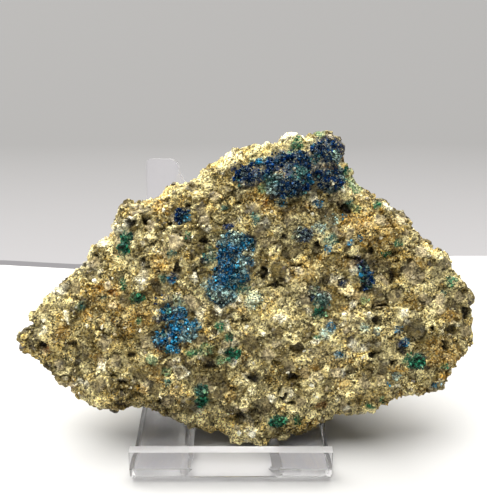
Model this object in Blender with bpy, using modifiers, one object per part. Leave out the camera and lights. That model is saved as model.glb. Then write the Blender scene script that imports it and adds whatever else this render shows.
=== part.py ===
"""Azurite and malachite on a coarse sandstone matrix, leaning on a clear acrylic easel.

Metres, +Z up. +X runs along the easel's front rail and +Y away from the viewer. The origin is on the
floor, under the middle of the whole object.

The easel is drawn from a point on the floor under the middle of its front rail, and the stone and
everything grown on it share one leaning frame: x across, y into the stone, z up its face.
"""

import math

import bmesh
import bpy
from mathutils import Euler, Vector, noise
from mathutils.bvhtree import BVHTree

MM = 0.001

OBJECT_MIDDLE = Vector((3.465, 32.165, 0)) * MM  # from the middle of the front rail

# ---- driving dimensions: the easel ----
EASEL_WIDTH = 50 * MM
EASEL_HEIGHT = 63.5 * MM
SHEET = 2.6 * MM
RAIL_HEIGHT = 9 * MM
FOOT_DEPTH = 50 * MM  # from the rail's middle to the rear bend
BACK_LEAN = math.radians(13)
RAIL_BEND = 2.0 * MM  # radii at the middle of the sheet
BACK_BEND = 4.0 * MM
RAIL_CORNER = 1.8 * MM
EAR_CORNER = 1.4 * MM
EAR_INNER_CORNER = 2.6 * MM
EAR_TOP = 9.5 * MM  # width of each ear at its top
NOTCH_DEPTH = 29 * MM
NOTCH_SLOPE = 0.30  # how far the notch narrows for each unit down
SLOT_TOP = 9.8 * MM  # half widths of the slot in the foot
SLOT_UNDERSIDE = 12.4 * MM
SLOT_END = FOOT_DEPTH - 5 * MM

# ---- driving dimensions: the stone ----
STONE_LEAN = math.radians(20)
STONE_ORIGIN = Vector((0, 15 * MM, 3 * MM))
STONE_CENTRE = Vector((4 * MM, 0, 35 * MM))  # in the leaning frame
FRONT_BULGE = 8.5 * MM
BACK_BULGE = 26.5 * MM
EDGE_POWER = 2.7  # 2 is an ellipsoid, and more gives flatter faces and steeper sides
STONE_CUTS = 59  # how finely the cage is divided before it is thinned
STONE_SKIN = 0.95 * MM
STONE_TRIANGLES = 4700
CLEARANCE = 0.35 * MM
DIP_X = 2 * MM  # where the stone hangs down between the easel's runners
DIP_HALF_WIDTH = 7.2 * MM
DIP_DEPTH = 2.3 * MM

# The outline of the stone's face in millimetres, anticlockwise from its left tip.
OUTLINE = (
    (-56.2, 26.8), (-54.0, 23.2), (-51.2, 19.4), (-46.9, 16.5), (-41.8, 13.0), (-37.7, 8.2),
    (-32.6, 6.2), (-27.3, 7.6), (-22.6, 7.4), (-19.4, 5.5), (-15.0, 3.9), (-11.0, 1.6),
    (-5.7, 0.5), (-0.5, -2.4), (4.0, -2.9), (7.2, -1.2), (9.0, 1.4), (13.3, 0.3),
    (17.5, 0.5), (22.2, 2.0), (26.4, 4.1), (35.4, 5.6), (39.6, 7.2), (44.3, 8.8),
    (49.0, 9.6), (54.6, 8.9), (58.6, 9.8), (61.2, 13.6), (61.8, 17.9), (64.3, 20.8),
    (65.2, 24.3), (64.3, 31.0), (64.4, 36.4), (62.8, 40.2), (59.4, 42.4), (58.9, 45.2),
    (54.8, 49.0), (49.4, 50.1), (46.2, 53.6), (43.6, 57.4), (40.0, 60.4), (36.8, 63.7),
    (33.0, 65.9), (30.7, 70.3), (29.0, 75.0), (26.2, 78.9), (22.6, 80.2), (19.0, 77.4),
    (15.9, 78.7), (12.3, 78.0), (7.9, 75.9), (3.0, 74.2), (-2.5, 72.9), (-8.2, 69.2),
    (-11.6, 66.4), (-19.4, 62.8), (-23.0, 61.2), (-27.6, 58.6), (-30.2, 53.6), (-33.6, 50.2),
    (-37.0, 46.8), (-39.6, 44.0), (-45.0, 40.6), (-48.6, 39.8), (-51.8, 36.8), (-54.4, 33.4),
    (-56.2, 30.0),
)

# Broken faces: a direction out of the stone, and how far from its centre it broke, in millimetres.
FRACTURES = (
    ((0.02, 1.00, 0.12), 25.2),
    ((-0.30, 0.80, -0.52), 27.5),
    ((-0.62, 0.74, 0.26), 31.0),
    ((0.10, 0.72, 0.69), 36.0),
    ((0.66, 0.72, 0.22), 37.5),
    ((0.55, 0.66, -0.52), 35.0),
    ((-0.30, 0.34, 0.89), 38.0),
    ((0.52, 0.30, 0.80), 48.5),
    ((-0.80, -0.56, 0.22), 47.0),
    ((0.12, -0.70, -0.70), 33.5),
    ((0.74, -0.66, -0.10), 47.5),
    ((-0.36, -0.62, 0.70), 32.0),
)

# Relief that covers the stone: the size of the grains and how far they stand out, in metres.
GRAIN_RELIEF = ((9.0 * MM, 3.0 * MM), (5.2 * MM, 2.4 * MM))
SWELL_SIZE = 21 * MM
SWELL_HEIGHT = 1.3 * MM
ROUGH_SIZE = 3.2 * MM
ROUGH_HEIGHT = 0.45 * MM
CREVICE = 0.22  # how wide the gap beside a grain is, as a share of the grain

# Hand-placed relief on the face, in millimetres: x, z, radius, and height, negative for a pit.
FACE_RELIEF = (
    (7.9, 1.4, 4.2, 1.8), (12.0, 44.5, 3.4, 1.5), (9.2, 40.6, 1.8, -2.2), (-14.8, 49.2, 3.6, 1.4),
    (-39.5, 45.0, 3.6, 1.6), (-35.0, 34.0, 4.5, -1.6), (-46.0, 26.5, 4.8, 1.3), (-44.0, 21.5, 2.3, -1.8),
    (-30.5, 15.2, 5.0, 1.5), (-16.0, 14.0, 3.4, 1.6), (2.0, 11.0, 4.6, 1.4), (5.4, 6.2, 2.8, -1.7),
    (9.5, 16.0, 2.2, -1.8), (15.0, 24.0, 3.2, 1.4), (20.5, 39.5, 1.5, -1.9), (27.0, 14.0, 5.0, 1.2),
    (40.0, 31.0, 6.5, 1.6), (50.5, 30.5, 6.0, 1.3), (55.0, 20.0, 4.0, 1.5), (38.0, 43.5, 2.4, -1.5),
    (33.5, 55.0, 5.0, 1.2), (43.5, 52.0, 4.5, 1.4), (-8.0, 61.0, 5.0, 1.1), (3.0, 56.5, 5.2, 0.9),
    (-24.0, 23.0, 4.6, -1.1), (-3.0, 26.0, 4.0, 1.0), (36.5, 22.0, 1.6, -1.8), (47.0, 13.5, 3.4, 1.0),
)
# Knobs on the stone's back, which it leans on: the same four numbers.
BACK_RELIEF = ((19.5, 60.0, 8.0, 4.5), (-17.0, 47.0, 8.5, 4.2))
CRACKS = (  # x, z of each point in millimetres
    ((-32.5, 17.5), (-28.2, 14.8), (-22.0, 9.5)),
    ((30.5, 48.0), (37.5, 48.8), (41.0, 47.5)),
    ((38.5, 37.0), (45.0, 35.8), (52.0, 37.5)),
    ((-47.0, 25.0), (-40.5, 23.0), (-33.0, 19.5)),
)
CRACK_WIDTH = 1.3 * MM
CRACK_DEPTH = 1.3 * MM

# What grew on the stone. A lobe is x, z, half width, half height and rise, in millimetres.
# A crust is one or more pads, and a pad is a few lobes that run together.
AZURITE = {
    "azurite_crest_crust": (
        ((23.6, 73.2, 4.6, 4.3, 3.4), (24.8, 66.8, 4.8, 3.8, 3.0)),
        ((16.2, 71.4, 5.8, 3.8, 2.4), (14.6, 65.4, 6.4, 3.6, 2.6)),
        ((8.4, 69.4, 5.6, 3.2, 2.0), (3.4, 67.6, 3.6, 2.4, 1.5)),
    ),
    "azurite_centre_crust": (
        ((0.8, 49.6, 5.0, 4.6, 1.2), (-0.4, 43.6, 4.8, 4.2, 1.0)),
        ((-2.4, 38.6, 4.2, 3.4, 0.9),),
    ),
    "azurite_left_crust": (
        ((-14.4, 33.0, 4.0, 2.6, 1.6), (-12.6, 28.6, 4.0, 3.2, 1.4)),
        ((-17.9, 26.2, 2.6, 2.6, 1.8), (-15.0, 24.6, 2.4, 2.2, 1.2)),
    ),
    "azurite_right_knot": (((23.0, 36.9, 2.6, 2.2, 1.7), (21.2, 38.4, 1.8, 1.6, 1.2)),),
    "azurite_east_knot": (((33.4, 44.4, 1.9, 2.3, 1.3), (34.7, 41.2, 2.4, 2.3, 1.6)),),
    "azurite_upper_knot": (((18.2, 52.7, 2.8, 2.2, 1.6),),),
    "azurite_west_knot": (((-12.7, 57.9, 2.3, 1.9, 1.3),),),
}
MALACHITE = {
    "malachite_west_tuft": (((-26.7, 52.0, 2.1, 1.8, 1.5), (-27.6, 49.0, 1.8, 2.0, 1.2)),),
    "malachite_left_tuft": (((-23.7, 36.6, 1.8, 1.8, 1.3),),),
    "malachite_right_tuft": (((22.1, 33.0, 2.2, 1.5, 1.4),),),
    "malachite_lower_tuft": (((0.7, 22.2, 2.2, 1.7, 1.4),),),
    "malachite_south_tuft": (((-7.4, 13.0, 2.0, 1.7, 1.3), (-8.0, 9.8, 1.9, 2.0, 1.0)),),
    "malachite_foot_tuft": (((12.1, 5.0, 2.9, 1.8, 1.3),),),
    "malachite_east_tuft": (((47.6, 20.6, 2.7, 2.4, 1.1),),),
}
CRUST_ROOT = 1.5 * MM  # how deep a crust is rooted in the stone below its rim
RIM_DEPTH = 0.4 * MM
RINGS_PER_MM = 0.62
SMOOTHING = 1.3 * MM
CRYSTAL_SIZE = 1.9 * MM
CRYSTAL_HEIGHT = 0.85 * MM

COLOURS = {  # base colour, roughness, metallic, transmission
    "stone": ((0.46, 0.38, 0.22), 0.85, 0.0, 0.0),
    "azurite": ((0.012, 0.075, 0.28), 0.35, 0.0, 0.0),
    "malachite": ((0.02, 0.25, 0.14), 0.5, 0.0, 0.0),
    "acrylic": ((0.95, 0.96, 0.98), 0.04, 0.0, 1.0),
}


# ---- small helpers ----


def clear_scene():
    for obj in list(bpy.data.objects):
        bpy.data.objects.remove(obj)


def new_collection(name):
    collection = bpy.data.collections.new(name)
    bpy.context.scene.collection.children.link(collection)
    return collection


def new_material(name):
    colour, roughness, metallic, transmission = COLOURS[name]
    material = bpy.data.materials.new(name)
    material.use_nodes = True
    shader = material.node_tree.nodes["Principled BSDF"]
    shader.inputs["Base Color"].default_value = (*colour, 1)
    shader.inputs["Roughness"].default_value = roughness
    shader.inputs["Metallic"].default_value = metallic
    shader.inputs["Transmission Weight"].default_value = transmission
    return material


def new_object(name, bm, collection, material=None):
    """An object from a bmesh, whose faces are made to point out."""
    bmesh.ops.recalc_face_normals(bm, faces=bm.faces)
    if bm.calc_volume(signed=True) < 0:
        bmesh.ops.reverse_faces(bm, faces=bm.faces)
    mesh = bpy.data.meshes.new(name)
    bm.to_mesh(mesh)
    bm.free()
    obj = bpy.data.objects.new(name, mesh)
    collection.objects.link(obj)
    if material:
        mesh.materials.append(material)
    return obj


def as_helper(obj):
    obj.hide_render = True
    obj.display_type = "WIRE"
    return obj


def apply_modifiers(obj):
    """Replaces the object's mesh by its evaluated one."""
    graph = bpy.context.evaluated_depsgraph_get()
    mesh = bpy.data.meshes.new_from_object(obj.evaluated_get(graph))
    obj.modifiers.clear()
    obj.data = mesh


def keep_largest_body(obj):
    """Drops the chips that its cuts have parted from an object."""
    apply_modifiers(obj)
    bm = bmesh.new()
    bm.from_mesh(obj.data)
    bodies, waiting = [], set(bm.verts)
    while waiting:
        body, edge = set(), [waiting.pop()]
        while edge:
            vert = edge.pop()
            body.add(vert)
            near = {link.other_vert(vert) for link in vert.link_edges} & waiting
            waiting -= near
            edge += near
        bodies.append(body)
    bodies.sort(key=len)
    for body in bodies[:-1]:
        bmesh.ops.delete(bm, geom=list(body), context="VERTS")
    bm.to_mesh(obj.data)
    bm.free()


def relax_folds(bm):
    """Evens out the places where a surface runs into itself."""
    bmesh.ops.triangulate(bm, faces=bm.faces)
    for _ in range(30):
        bm.faces.ensure_lookup_table()
        tree = BVHTree.FromBMesh(bm)
        crossed = set()
        for first, second in tree.overlap(tree):
            corners, others = set(bm.faces[first].verts), set(bm.faces[second].verts)
            if first < second and not corners & others:
                crossed |= corners | others
        if not crossed:
            return
        bmesh.ops.smooth_vert(
            bm, verts=list(crossed), factor=0.5, use_axis_x=True, use_axis_y=True, use_axis_z=True
        )


def add_boolean(obj, other, operation):
    modifier = obj.modifiers.new(f"{operation.title()} {other.name}", "BOOLEAN")
    modifier.operation = operation
    modifier.object = other


def arc(centre, radius, start, end, steps):
    """Points of an arc in a plane, with angles in degrees."""
    return [
        (
            centre[0] + radius * math.cos(math.radians(start + (end - start) * i / steps)),
            centre[1] + radius * math.sin(math.radians(start + (end - start) * i / steps)),
        )
        for i in range(steps + 1)
    ]


# ---- the easel: a flat blank, bent at the rail and at the back ----


def sheet_path():
    """The middle of the bent sheet in the YZ plane, from the rail's top to the ears' top, as
    stretches of (length, heading at its start, heading at its end) in radians."""
    rear_turn = math.pi / 2 - BACK_LEAN
    foot_trim = BACK_BEND * math.tan(rear_turn / 2)
    rise = EASEL_HEIGHT - SHEET / 2 - BACK_BEND * (1 - math.cos(rear_turn))
    return (
        (RAIL_HEIGHT - SHEET / 2 - RAIL_BEND, -math.pi / 2, -math.pi / 2),
        (RAIL_BEND * math.pi / 2, -math.pi / 2, 0),
        (FOOT_DEPTH - RAIL_BEND - foot_trim, 0, 0),
        (BACK_BEND * rear_turn, 0, rear_turn),
        (rise / math.sin(rear_turn), rear_turn, rear_turn),
    )


def on_sheet(along):
    """Where a distance along the sheet's middle lies, as y and z."""
    y, z = 0.0, RAIL_HEIGHT
    for length, start, end in sheet_path():
        part = min(along, length)
        turn = (end - start) * part / length
        if abs(end - start) < 1e-9:
            y += part * math.cos(start)
            z += part * math.sin(start)
        else:
            radius = length / (end - start)
            y += radius * (math.sin(start + turn) - math.sin(start))
            z -= radius * (math.cos(start + turn) - math.cos(start))
        along -= part
        if along <= 0:
            break
    return y, z


def blank_outline(length):
    """One half of the flat blank, from the rail's middle round to the bottom of the notch, as x, along."""
    half = EASEL_WIDTH / 2
    lip = half - EAR_TOP  # where the ear's top ends
    slope = math.degrees(math.atan(NOTCH_SLOPE))
    floor_radius = (lip - NOTCH_SLOPE * NOTCH_DEPTH) * 0.92
    notch_floor = length - NOTCH_DEPTH
    points = [(half, 0)]
    points += arc((half - EAR_CORNER, length - EAR_CORNER), EAR_CORNER, 0, 90, 4)
    points += arc(
        (lip + EAR_INNER_CORNER, length - EAR_INNER_CORNER), EAR_INNER_CORNER, 90, 180 + slope, 6
    )
    points += arc((0, notch_floor + floor_radius), floor_radius, slope, -90, 8)[:-1]
    return points, notch_floor


def easel_blank(collection):
    """The flat blank as a filled curve, x across and y along the sheet."""
    length = sum(stretch[0] for stretch in sheet_path())
    half, notch_floor = blank_outline(length)
    outline = half + [(0, notch_floor)] + [(-x, along) for x, along in reversed(half)]
    curve = bpy.data.curves.new("easel_blank", "CURVE")
    curve.dimensions = "2D"
    curve.fill_mode = "BOTH"
    spline = curve.splines.new("POLY")
    spline.points.add(len(outline) - 1)
    for point, (x, along) in zip(spline.points, outline):
        point.co = (x, along, 0, 1)
    spline.use_cyclic_u = True
    blank = as_helper(bpy.data.objects.new("easel_blank", curve))
    collection.objects.link(blank)
    return blank


def bent_sheet(blank):
    """The blank's mesh, divided along the bends and bent."""
    graph = bpy.context.evaluated_depsgraph_get()
    flat = bpy.data.meshes.new_from_object(blank.evaluated_get(graph))
    bm = bmesh.new()
    bm.from_mesh(flat)
    bmesh.ops.remove_doubles(bm, verts=bm.verts, dist=1e-6)
    at = 0.0
    stations = []
    for length, start, end in sheet_path():
        steps = 6 if abs(end - start) > 1e-9 else 1
        stations += [at + length * i / steps for i in range(steps)]
        at += length
    for station in stations[1:]:
        bmesh.ops.bisect_plane(
            bm,
            geom=bm.verts[:] + bm.edges[:] + bm.faces[:],
            plane_co=(0, station, 0),
            plane_no=(0, 1, 0),
            dist=1e-7,
        )
    for vert in bm.verts:
        y, z = on_sheet(vert.co.y)
        vert.co = (vert.co.x, y, z)
    return bm


def slot_cutter(collection):
    """The slot in the foot, wider on its underside."""
    bm = bmesh.new()
    bmesh.ops.create_cube(bm, size=1)
    start, end = SHEET / 2 + 0.02 * MM, SLOT_END
    low, high = -1 * MM, SHEET + 1 * MM
    slope = (SLOT_UNDERSIDE - SLOT_TOP) / SHEET
    for vert in bm.verts:
        z = high if vert.co.z > 0 else low
        half = SLOT_TOP + slope * (SHEET - z)
        vert.co = (math.copysign(half, vert.co.x), end if vert.co.y > 0 else start, z)
    return as_helper(new_object("slot_cutter", bm, collection))


def easel_keeper(collection):
    """The easel's outline from the front, with the rounded lower corners; what lies outside it is cut."""
    half, reach = EASEL_WIDTH / 2, 0.12
    corner = (half - RAIL_CORNER, RAIL_CORNER)
    right = arc(corner, RAIL_CORNER, -90, 0, 5) + [(half, reach)]
    outline = right + [(-x, z) for x, z in reversed(right)]
    bm = bmesh.new()
    face = bm.faces.new([bm.verts.new((x, -reach, z)) for x, z in outline])
    swept = bmesh.ops.extrude_face_region(bm, geom=[face])
    moved = [item for item in swept["geom"] if isinstance(item, bmesh.types.BMVert)]
    bmesh.ops.translate(bm, verts=moved, vec=(0, 2 * reach, 0))
    return as_helper(new_object("easel_keeper", bm, collection))


def build_easel(parts, cutters, material):
    easel = new_object("acrylic_easel", bent_sheet(easel_blank(cutters)), parts, material)
    thickness = easel.modifiers.new("Thickness", "SOLIDIFY")
    thickness.thickness = SHEET
    thickness.offset = 0
    thickness.use_even_offset = True
    add_boolean(easel, slot_cutter(cutters), "DIFFERENCE")
    add_boolean(easel, easel_keeper(cutters), "INTERSECT")
    merged = easel.modifiers.new("Flat faces merged", "DECIMATE")
    merged.decimate_type = "DISSOLVE"
    merged.angle_limit = math.radians(1)
    return easel


# ---- the stone ----


def outline_reach(angle):
    """How far the outline is from the stone's centre in this direction."""
    ray = (math.cos(angle), math.sin(angle))
    centre = (STONE_CENTRE.x / MM, STONE_CENTRE.z / MM)
    reach = 0.0
    for (ax, az), (bx, bz) in zip(OUTLINE, OUTLINE[1:] + OUTLINE[:1]):
        ax, az, bx, bz = ax - centre[0], az - centre[1], bx - centre[0], bz - centre[1]
        along = (bx - ax, bz - az)
        turn = ray[0] * along[1] - ray[1] * along[0]
        if abs(turn) < 1e-12:
            continue
        distance = (ax * along[1] - az * along[0]) / turn
        share = (ax * ray[1] - az * ray[0]) / turn
        if distance > 0 and -1e-9 <= share <= 1 + 1e-9:
            reach = max(reach, distance)
    return reach * MM


def stone_form(direction):
    """A point of the rounded slab that fills the outline, for a direction from its centre."""
    across, depth, up = direction
    rim = math.hypot(across, up)
    scale = (rim**EDGE_POWER + abs(depth) ** EDGE_POWER) ** (-1 / EDGE_POWER)
    reach = outline_reach(math.atan2(up, across)) * rim * scale
    bulge = FRONT_BULGE if depth < 0 else BACK_BULGE
    flat = math.hypot(across, up) or 1
    return STONE_CENTRE + Vector((across / flat * reach, depth * scale * bulge, up / flat * reach))


def cut_fractures(point):
    """The point pressed back onto each broken face that it lies beyond."""
    for normal, distance in FRACTURES:
        normal = Vector(normal).normalized()
        beyond = (point - STONE_CENTRE).dot(normal) - distance * MM
        if beyond > 0:
            point = point - normal * beyond * 0.9
    return point


def grain(point, size):
    """The relief of grains packed side by side, from about -1 in a crevice to 1 on a proud grain."""
    distances, centres = noise.voronoi(point / size)
    lean = noise.cell_vector(centres[0] * 5.7) - Vector((0.5, 0.5, 0.5))
    crevice = min(1.0, (distances[1] - distances[0]) / CREVICE)
    facet = (point / size - centres[0]).dot(lean) * 1.6
    return crevice * (0.8 + 1.2 * lean.x) - 0.6 + facet


def crack_gap(x, z):
    """How near a point of the face is to a crack: 1 on it, 0 at its width."""
    nearest = 1e9
    for crack in CRACKS:
        for (ax, az), (bx, bz) in zip(crack, crack[1:]):
            start, along = Vector((ax, az)) * MM, Vector((bx - ax, bz - az)) * MM
            offset = Vector((x, z)) - start
            share = min(1.0, max(0.0, offset.dot(along) / along.length_squared))
            nearest = min(nearest, (offset - along * share).length)
    return max(0.0, 1 - nearest / CRACK_WIDTH)


def placed_relief(point, places):
    """The hand-placed lumps and pits that reach a point."""
    height = 0.0
    for x, z, radius, rise in places:
        away = math.hypot(point.x / MM - x, point.z / MM - z) / radius
        if away < 1:
            height += rise * MM * (1 - away**2.5)
    return height


def stone_relief(point, facing):
    height = SWELL_HEIGHT * noise.fractal(point / SWELL_SIZE, 1.0, 2.0, 3)
    height += ROUGH_HEIGHT * noise.noise(point / ROUGH_SIZE)
    for size, rise in GRAIN_RELIEF:
        height += rise * 0.5 * grain(point, size)
    if facing.y < -0.3:
        height += placed_relief(point, FACE_RELIEF) - CRACK_DEPTH * crack_gap(point.x, point.z)
    elif facing.y > 0.3:
        height += placed_relief(point, BACK_RELIEF)
    return height


def roughened_stone():
    bm = bmesh.new()
    bmesh.ops.create_cube(bm, size=2)
    bmesh.ops.subdivide_edges(bm, edges=bm.edges, cuts=STONE_CUTS, use_grid_fill=True)
    for vert in bm.verts:
        vert.co = cut_fractures(stone_form(vert.co.normalized()))
    bm.normal_update()
    moves = [(vert, vert.normal * stone_relief(vert.co, vert.normal)) for vert in bm.verts]
    for vert, move in moves:
        vert.co = keep_off_easel(vert.co + move)
    return bm


def keep_off_easel(point):
    """The point moved clear of the easel's runners, the floor and the easel's back."""
    up = Vector((0, -math.sin(STONE_LEAN), math.cos(STONE_LEAN)))
    dip = max(0.0, 1 - ((point.x - DIP_X) / DIP_HALF_WIDTH) ** 2)
    short = SHEET + CLEARANCE - DIP_DEPTH * dip - (STONE_ORIGIN.z + point.dot(up))
    if short > 0:
        point = point + up * short
    turn = STONE_LEAN - BACK_LEAN
    out = Vector((0, math.cos(turn), math.sin(turn)))
    y, z = on_sheet(sum(stretch[0] for stretch in sheet_path()))
    ear = Vector((0, y, z)) - STONE_ORIGIN
    ear.rotate(Euler((STONE_LEAN, 0, 0)))
    beyond = (point - ear).dot(out) + SHEET / 2 + CLEARANCE
    return point - out * beyond if beyond > 0 else point


def build_stone(parts, material, leaning):
    stone = new_object("sandstone_matrix", roughened_stone(), parts, material)
    stone.parent = leaning
    skin = stone.modifiers.new("Even skin", "REMESH")
    skin.mode = "VOXEL"
    skin.voxel_size = STONE_SKIN
    apply_modifiers(stone)
    thinned = stone.modifiers.new("Thinned", "DECIMATE")
    thinned.ratio = STONE_TRIANGLES / sum(len(face.vertices) - 2 for face in stone.data.polygons)
    apply_modifiers(stone)
    bm = bmesh.new()
    bm.from_mesh(stone.data)
    relax_folds(bm)
    for vert in bm.verts:
        vert.co = keep_off_easel(vert.co)
    bm.to_mesh(stone.data)
    bm.free()
    stone.data.materials.clear()
    stone.data.materials.append(material)
    return stone


def leaning_frame(collection):
    """The empty whose axes are the stone's own: x across, y into the stone, z up its face."""
    frame = bpy.data.objects.new("leaning_frame", None)
    frame.location = STONE_ORIGIN
    frame.rotation_euler = Euler((-STONE_LEAN, 0, 0))
    collection.objects.link(frame)
    return frame


# ---- what grew on the stone ----


def face_at(surface, x, z):
    """Where the stone's face is at this place and which way it faces, or None beyond its edge."""
    spot, normal, _, _ = surface.ray_cast(Vector((x, -0.05, z)), Vector((0, 1, 0)))
    return (spot, normal) if spot else None


def smooth_face(surface, x, z):
    """The face's place and direction, evened out over a few grains."""
    ring = [(0, 0)] + [(math.cos(turn), math.sin(turn)) for turn in (0.3, 1.35, 2.4, 3.45, 4.5, 5.55)]
    found = [face_at(surface, x + SMOOTHING * dx, z + SMOOTHING * dz) for dx, dz in ring]
    found = [item for item in found if item and item[0].y < 14 * MM]
    depth = sum(spot.y for spot, _ in found) / len(found)
    normal = sum((normal for _, normal in found), Vector()).normalized()
    return Vector((x, depth, z)), normal


def lobes_reach(lobes, centre, angle):
    """How far the lobes reach from their centre in this direction."""
    across, up = math.cos(angle), math.sin(angle)
    reach = 0.0
    for x, z, half_width, half_height, _ in lobes:
        dx, dz = (centre[0] - x) / half_width, (centre[1] - z) / half_height
        ux, uz = across / half_width, up / half_height
        a, b, c = ux * ux + uz * uz, dx * ux + dz * uz, dx * dx + dz * dz - 1
        if b * b - a * c > 0:
            reach = max(reach, (math.sqrt(b * b - a * c) - b) / a)
    return reach * (1 + 0.16 * noise.noise(Vector((across, up, centre[0])) * 2.3))


def lobes_rise(lobes, x, z):
    """How high the lobes stand at a place inside their edge, in millimetres."""
    rise = 0.0
    for lobe_x, lobe_z, half_width, half_height, height in lobes:
        away = math.hypot((x - lobe_x) / half_width, (z - lobe_z) / half_height)
        rise = max(rise, height * (1 - 0.55 * min(1.0, away) ** 2))
        rise = max(rise, height * 0.45 / max(1.0, away) ** 2)
    return rise


def crystal_relief(point):
    """Flat-faced crystals side by side, as a height."""
    distances, centres = noise.voronoi(point / CRYSTAL_SIZE)
    lean = noise.cell_vector(centres[0] * 3.1) - Vector((0.5, 0.5, 0.5))
    gap = min(1.0, (distances[1] - distances[0]) / 0.3)
    return CRYSTAL_HEIGHT * (gap * 0.6 + (point / CRYSTAL_SIZE - centres[0]).dot(lean) * 1.3 - 0.4)


def pad_point(surface, lobes, centre, angle, share, side):
    """A point of a pad's top, rim or root, at a share of the way from its centre to its rim."""
    reach = lobes_reach(lobes, centre, angle) * share
    x, z = centre[0] + reach * math.cos(angle), centre[1] + reach * math.sin(angle)
    spot, normal = smooth_face(surface, x * MM, z * MM)
    if side == "rim":
        return spot - normal * RIM_DEPTH
    if side == "root":
        return spot - normal * (RIM_DEPTH + CRUST_ROOT * (1 - share**3))
    rise = lobes_rise(lobes, x, z) * MM * math.sqrt(1 - share**4)
    return spot + normal * (rise + crystal_relief(spot + normal * rise) * (1 - share**4))


def pad_mesh(surface, lobes):
    """A pad as rings about its centre: down its top to the rim, and back under it to its root."""
    area = sum(width * height for _, _, width, height, _ in lobes)
    centre = [sum(lobe[i] * lobe[2] * lobe[3] for lobe in lobes) / area for i in (0, 1)]
    rings = max(2, round(area**0.5 * RINGS_PER_MM))
    spokes = max(9, 4 * rings + 3)
    bm = bmesh.new()
    loops = []
    for side, steps in (("top", range(1, rings)), ("rim", (rings,)), ("root", range(rings - 1, 0, -1))):
        for step in steps:
            turns = [math.tau * spoke / spokes for spoke in range(spokes)]
            points = [pad_point(surface, lobes, centre, turn, step / rings, side) for turn in turns]
            loops.append([bm.verts.new(point) for point in points])
    edges = [
        [bm.edges.new((loop[i - 1], loop[i])) for i in range(spokes)] for loop in loops
    ]
    for lower, upper in zip(edges, edges[1:]):
        bmesh.ops.bridge_loops(bm, edges=lower + upper)
    for loop, side in ((loops[0], "top"), (loops[-1], "root")):
        middle = bm.verts.new(pad_point(surface, lobes, centre, 0.0, 0.0, side))
        for i in range(spokes):
            bm.faces.new((loop[i - 1], loop[i], middle))
    relax_folds(bm)
    return bm


def seat_mesh(pad):
    """The pad a little larger all round."""
    bm = bmesh.new()
    bm.from_mesh(pad.data)
    bm.normal_update()
    for vert in bm.verts:
        vert.co += vert.normal * CLEARANCE
    relax_folds(bm)
    return bm


def build_crust(name, pads, surface, parts, cutters, material, stone):
    """A crust of joined pads, let into a seat in the stone that is a little larger."""
    crust = None
    for number, lobes in enumerate(pads):
        first = number == 0
        pad = new_object(
            name if first else f"{name}_pad_{number}",
            pad_mesh(surface, lobes),
            parts if first else cutters,
            material,
        )
        pad.parent = stone.parent
        seat = as_helper(new_object(f"{name}_seat_{number}", seat_mesh(pad), cutters))
        seat.parent = stone.parent
        add_boolean(stone, seat, "DIFFERENCE")
        if first:
            crust = pad
        else:
            add_boolean(crust, as_helper(pad), "UNION")


def place_on_origin(collection):
    """Carries everything on one empty, so that the object's middle is over the origin."""
    whole = bpy.data.objects.new("specimen", None)
    whole.location = -OBJECT_MIDDLE
    for obj in bpy.data.objects:
        if obj is not whole and obj.parent is None:
            obj.parent = whole
    collection.objects.link(whole)


def main():
    clear_scene()
    parts = new_collection("azurite specimen")
    cutters = new_collection("cutters")
    materials = {name: new_material(name) for name in COLOURS}
    leaning = leaning_frame(parts)
    build_easel(parts, cutters, materials["acrylic"])
    stone = build_stone(parts, materials["stone"], leaning)
    bm = bmesh.new()
    bm.from_mesh(stone.data)
    surface = BVHTree.FromBMesh(bm)
    bm.free()
    for crusts, kind in ((AZURITE, "azurite"), (MALACHITE, "malachite")):
        for name, pads in crusts.items():
            build_crust(name, pads, surface, parts, cutters, materials[kind], stone)
    keep_largest_body(stone)
    place_on_origin(parts)


main()
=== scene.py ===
"""The looks of the azurite specimen and its easel, with the table, the light and the camera."""

import math

import bmesh
import bpy
import numpy as np
from mathutils import Matrix, Vector, kdtree, noise
from mathutils.bvhtree import BVHTree


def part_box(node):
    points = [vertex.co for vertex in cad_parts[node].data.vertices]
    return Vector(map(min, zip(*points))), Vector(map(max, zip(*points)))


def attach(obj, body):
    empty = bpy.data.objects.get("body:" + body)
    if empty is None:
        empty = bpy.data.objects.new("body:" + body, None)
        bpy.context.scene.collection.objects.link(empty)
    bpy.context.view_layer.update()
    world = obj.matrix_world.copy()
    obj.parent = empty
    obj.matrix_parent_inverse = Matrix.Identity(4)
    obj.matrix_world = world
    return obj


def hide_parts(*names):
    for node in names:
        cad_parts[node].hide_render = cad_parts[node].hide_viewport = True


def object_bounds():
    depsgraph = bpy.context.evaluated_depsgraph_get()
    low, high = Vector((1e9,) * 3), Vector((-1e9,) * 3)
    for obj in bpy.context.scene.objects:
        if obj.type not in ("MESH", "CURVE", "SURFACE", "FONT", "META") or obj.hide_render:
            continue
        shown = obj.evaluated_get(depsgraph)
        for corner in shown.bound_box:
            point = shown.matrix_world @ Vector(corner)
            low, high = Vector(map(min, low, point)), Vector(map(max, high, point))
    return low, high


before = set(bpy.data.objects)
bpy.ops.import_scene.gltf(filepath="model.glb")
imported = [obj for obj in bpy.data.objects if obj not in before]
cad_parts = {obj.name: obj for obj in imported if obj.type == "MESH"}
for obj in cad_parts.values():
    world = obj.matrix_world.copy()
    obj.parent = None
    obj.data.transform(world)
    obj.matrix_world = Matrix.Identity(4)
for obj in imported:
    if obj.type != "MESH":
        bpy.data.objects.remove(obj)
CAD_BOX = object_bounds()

MM = 0.001
rng = np.random.default_rng(20)

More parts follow.
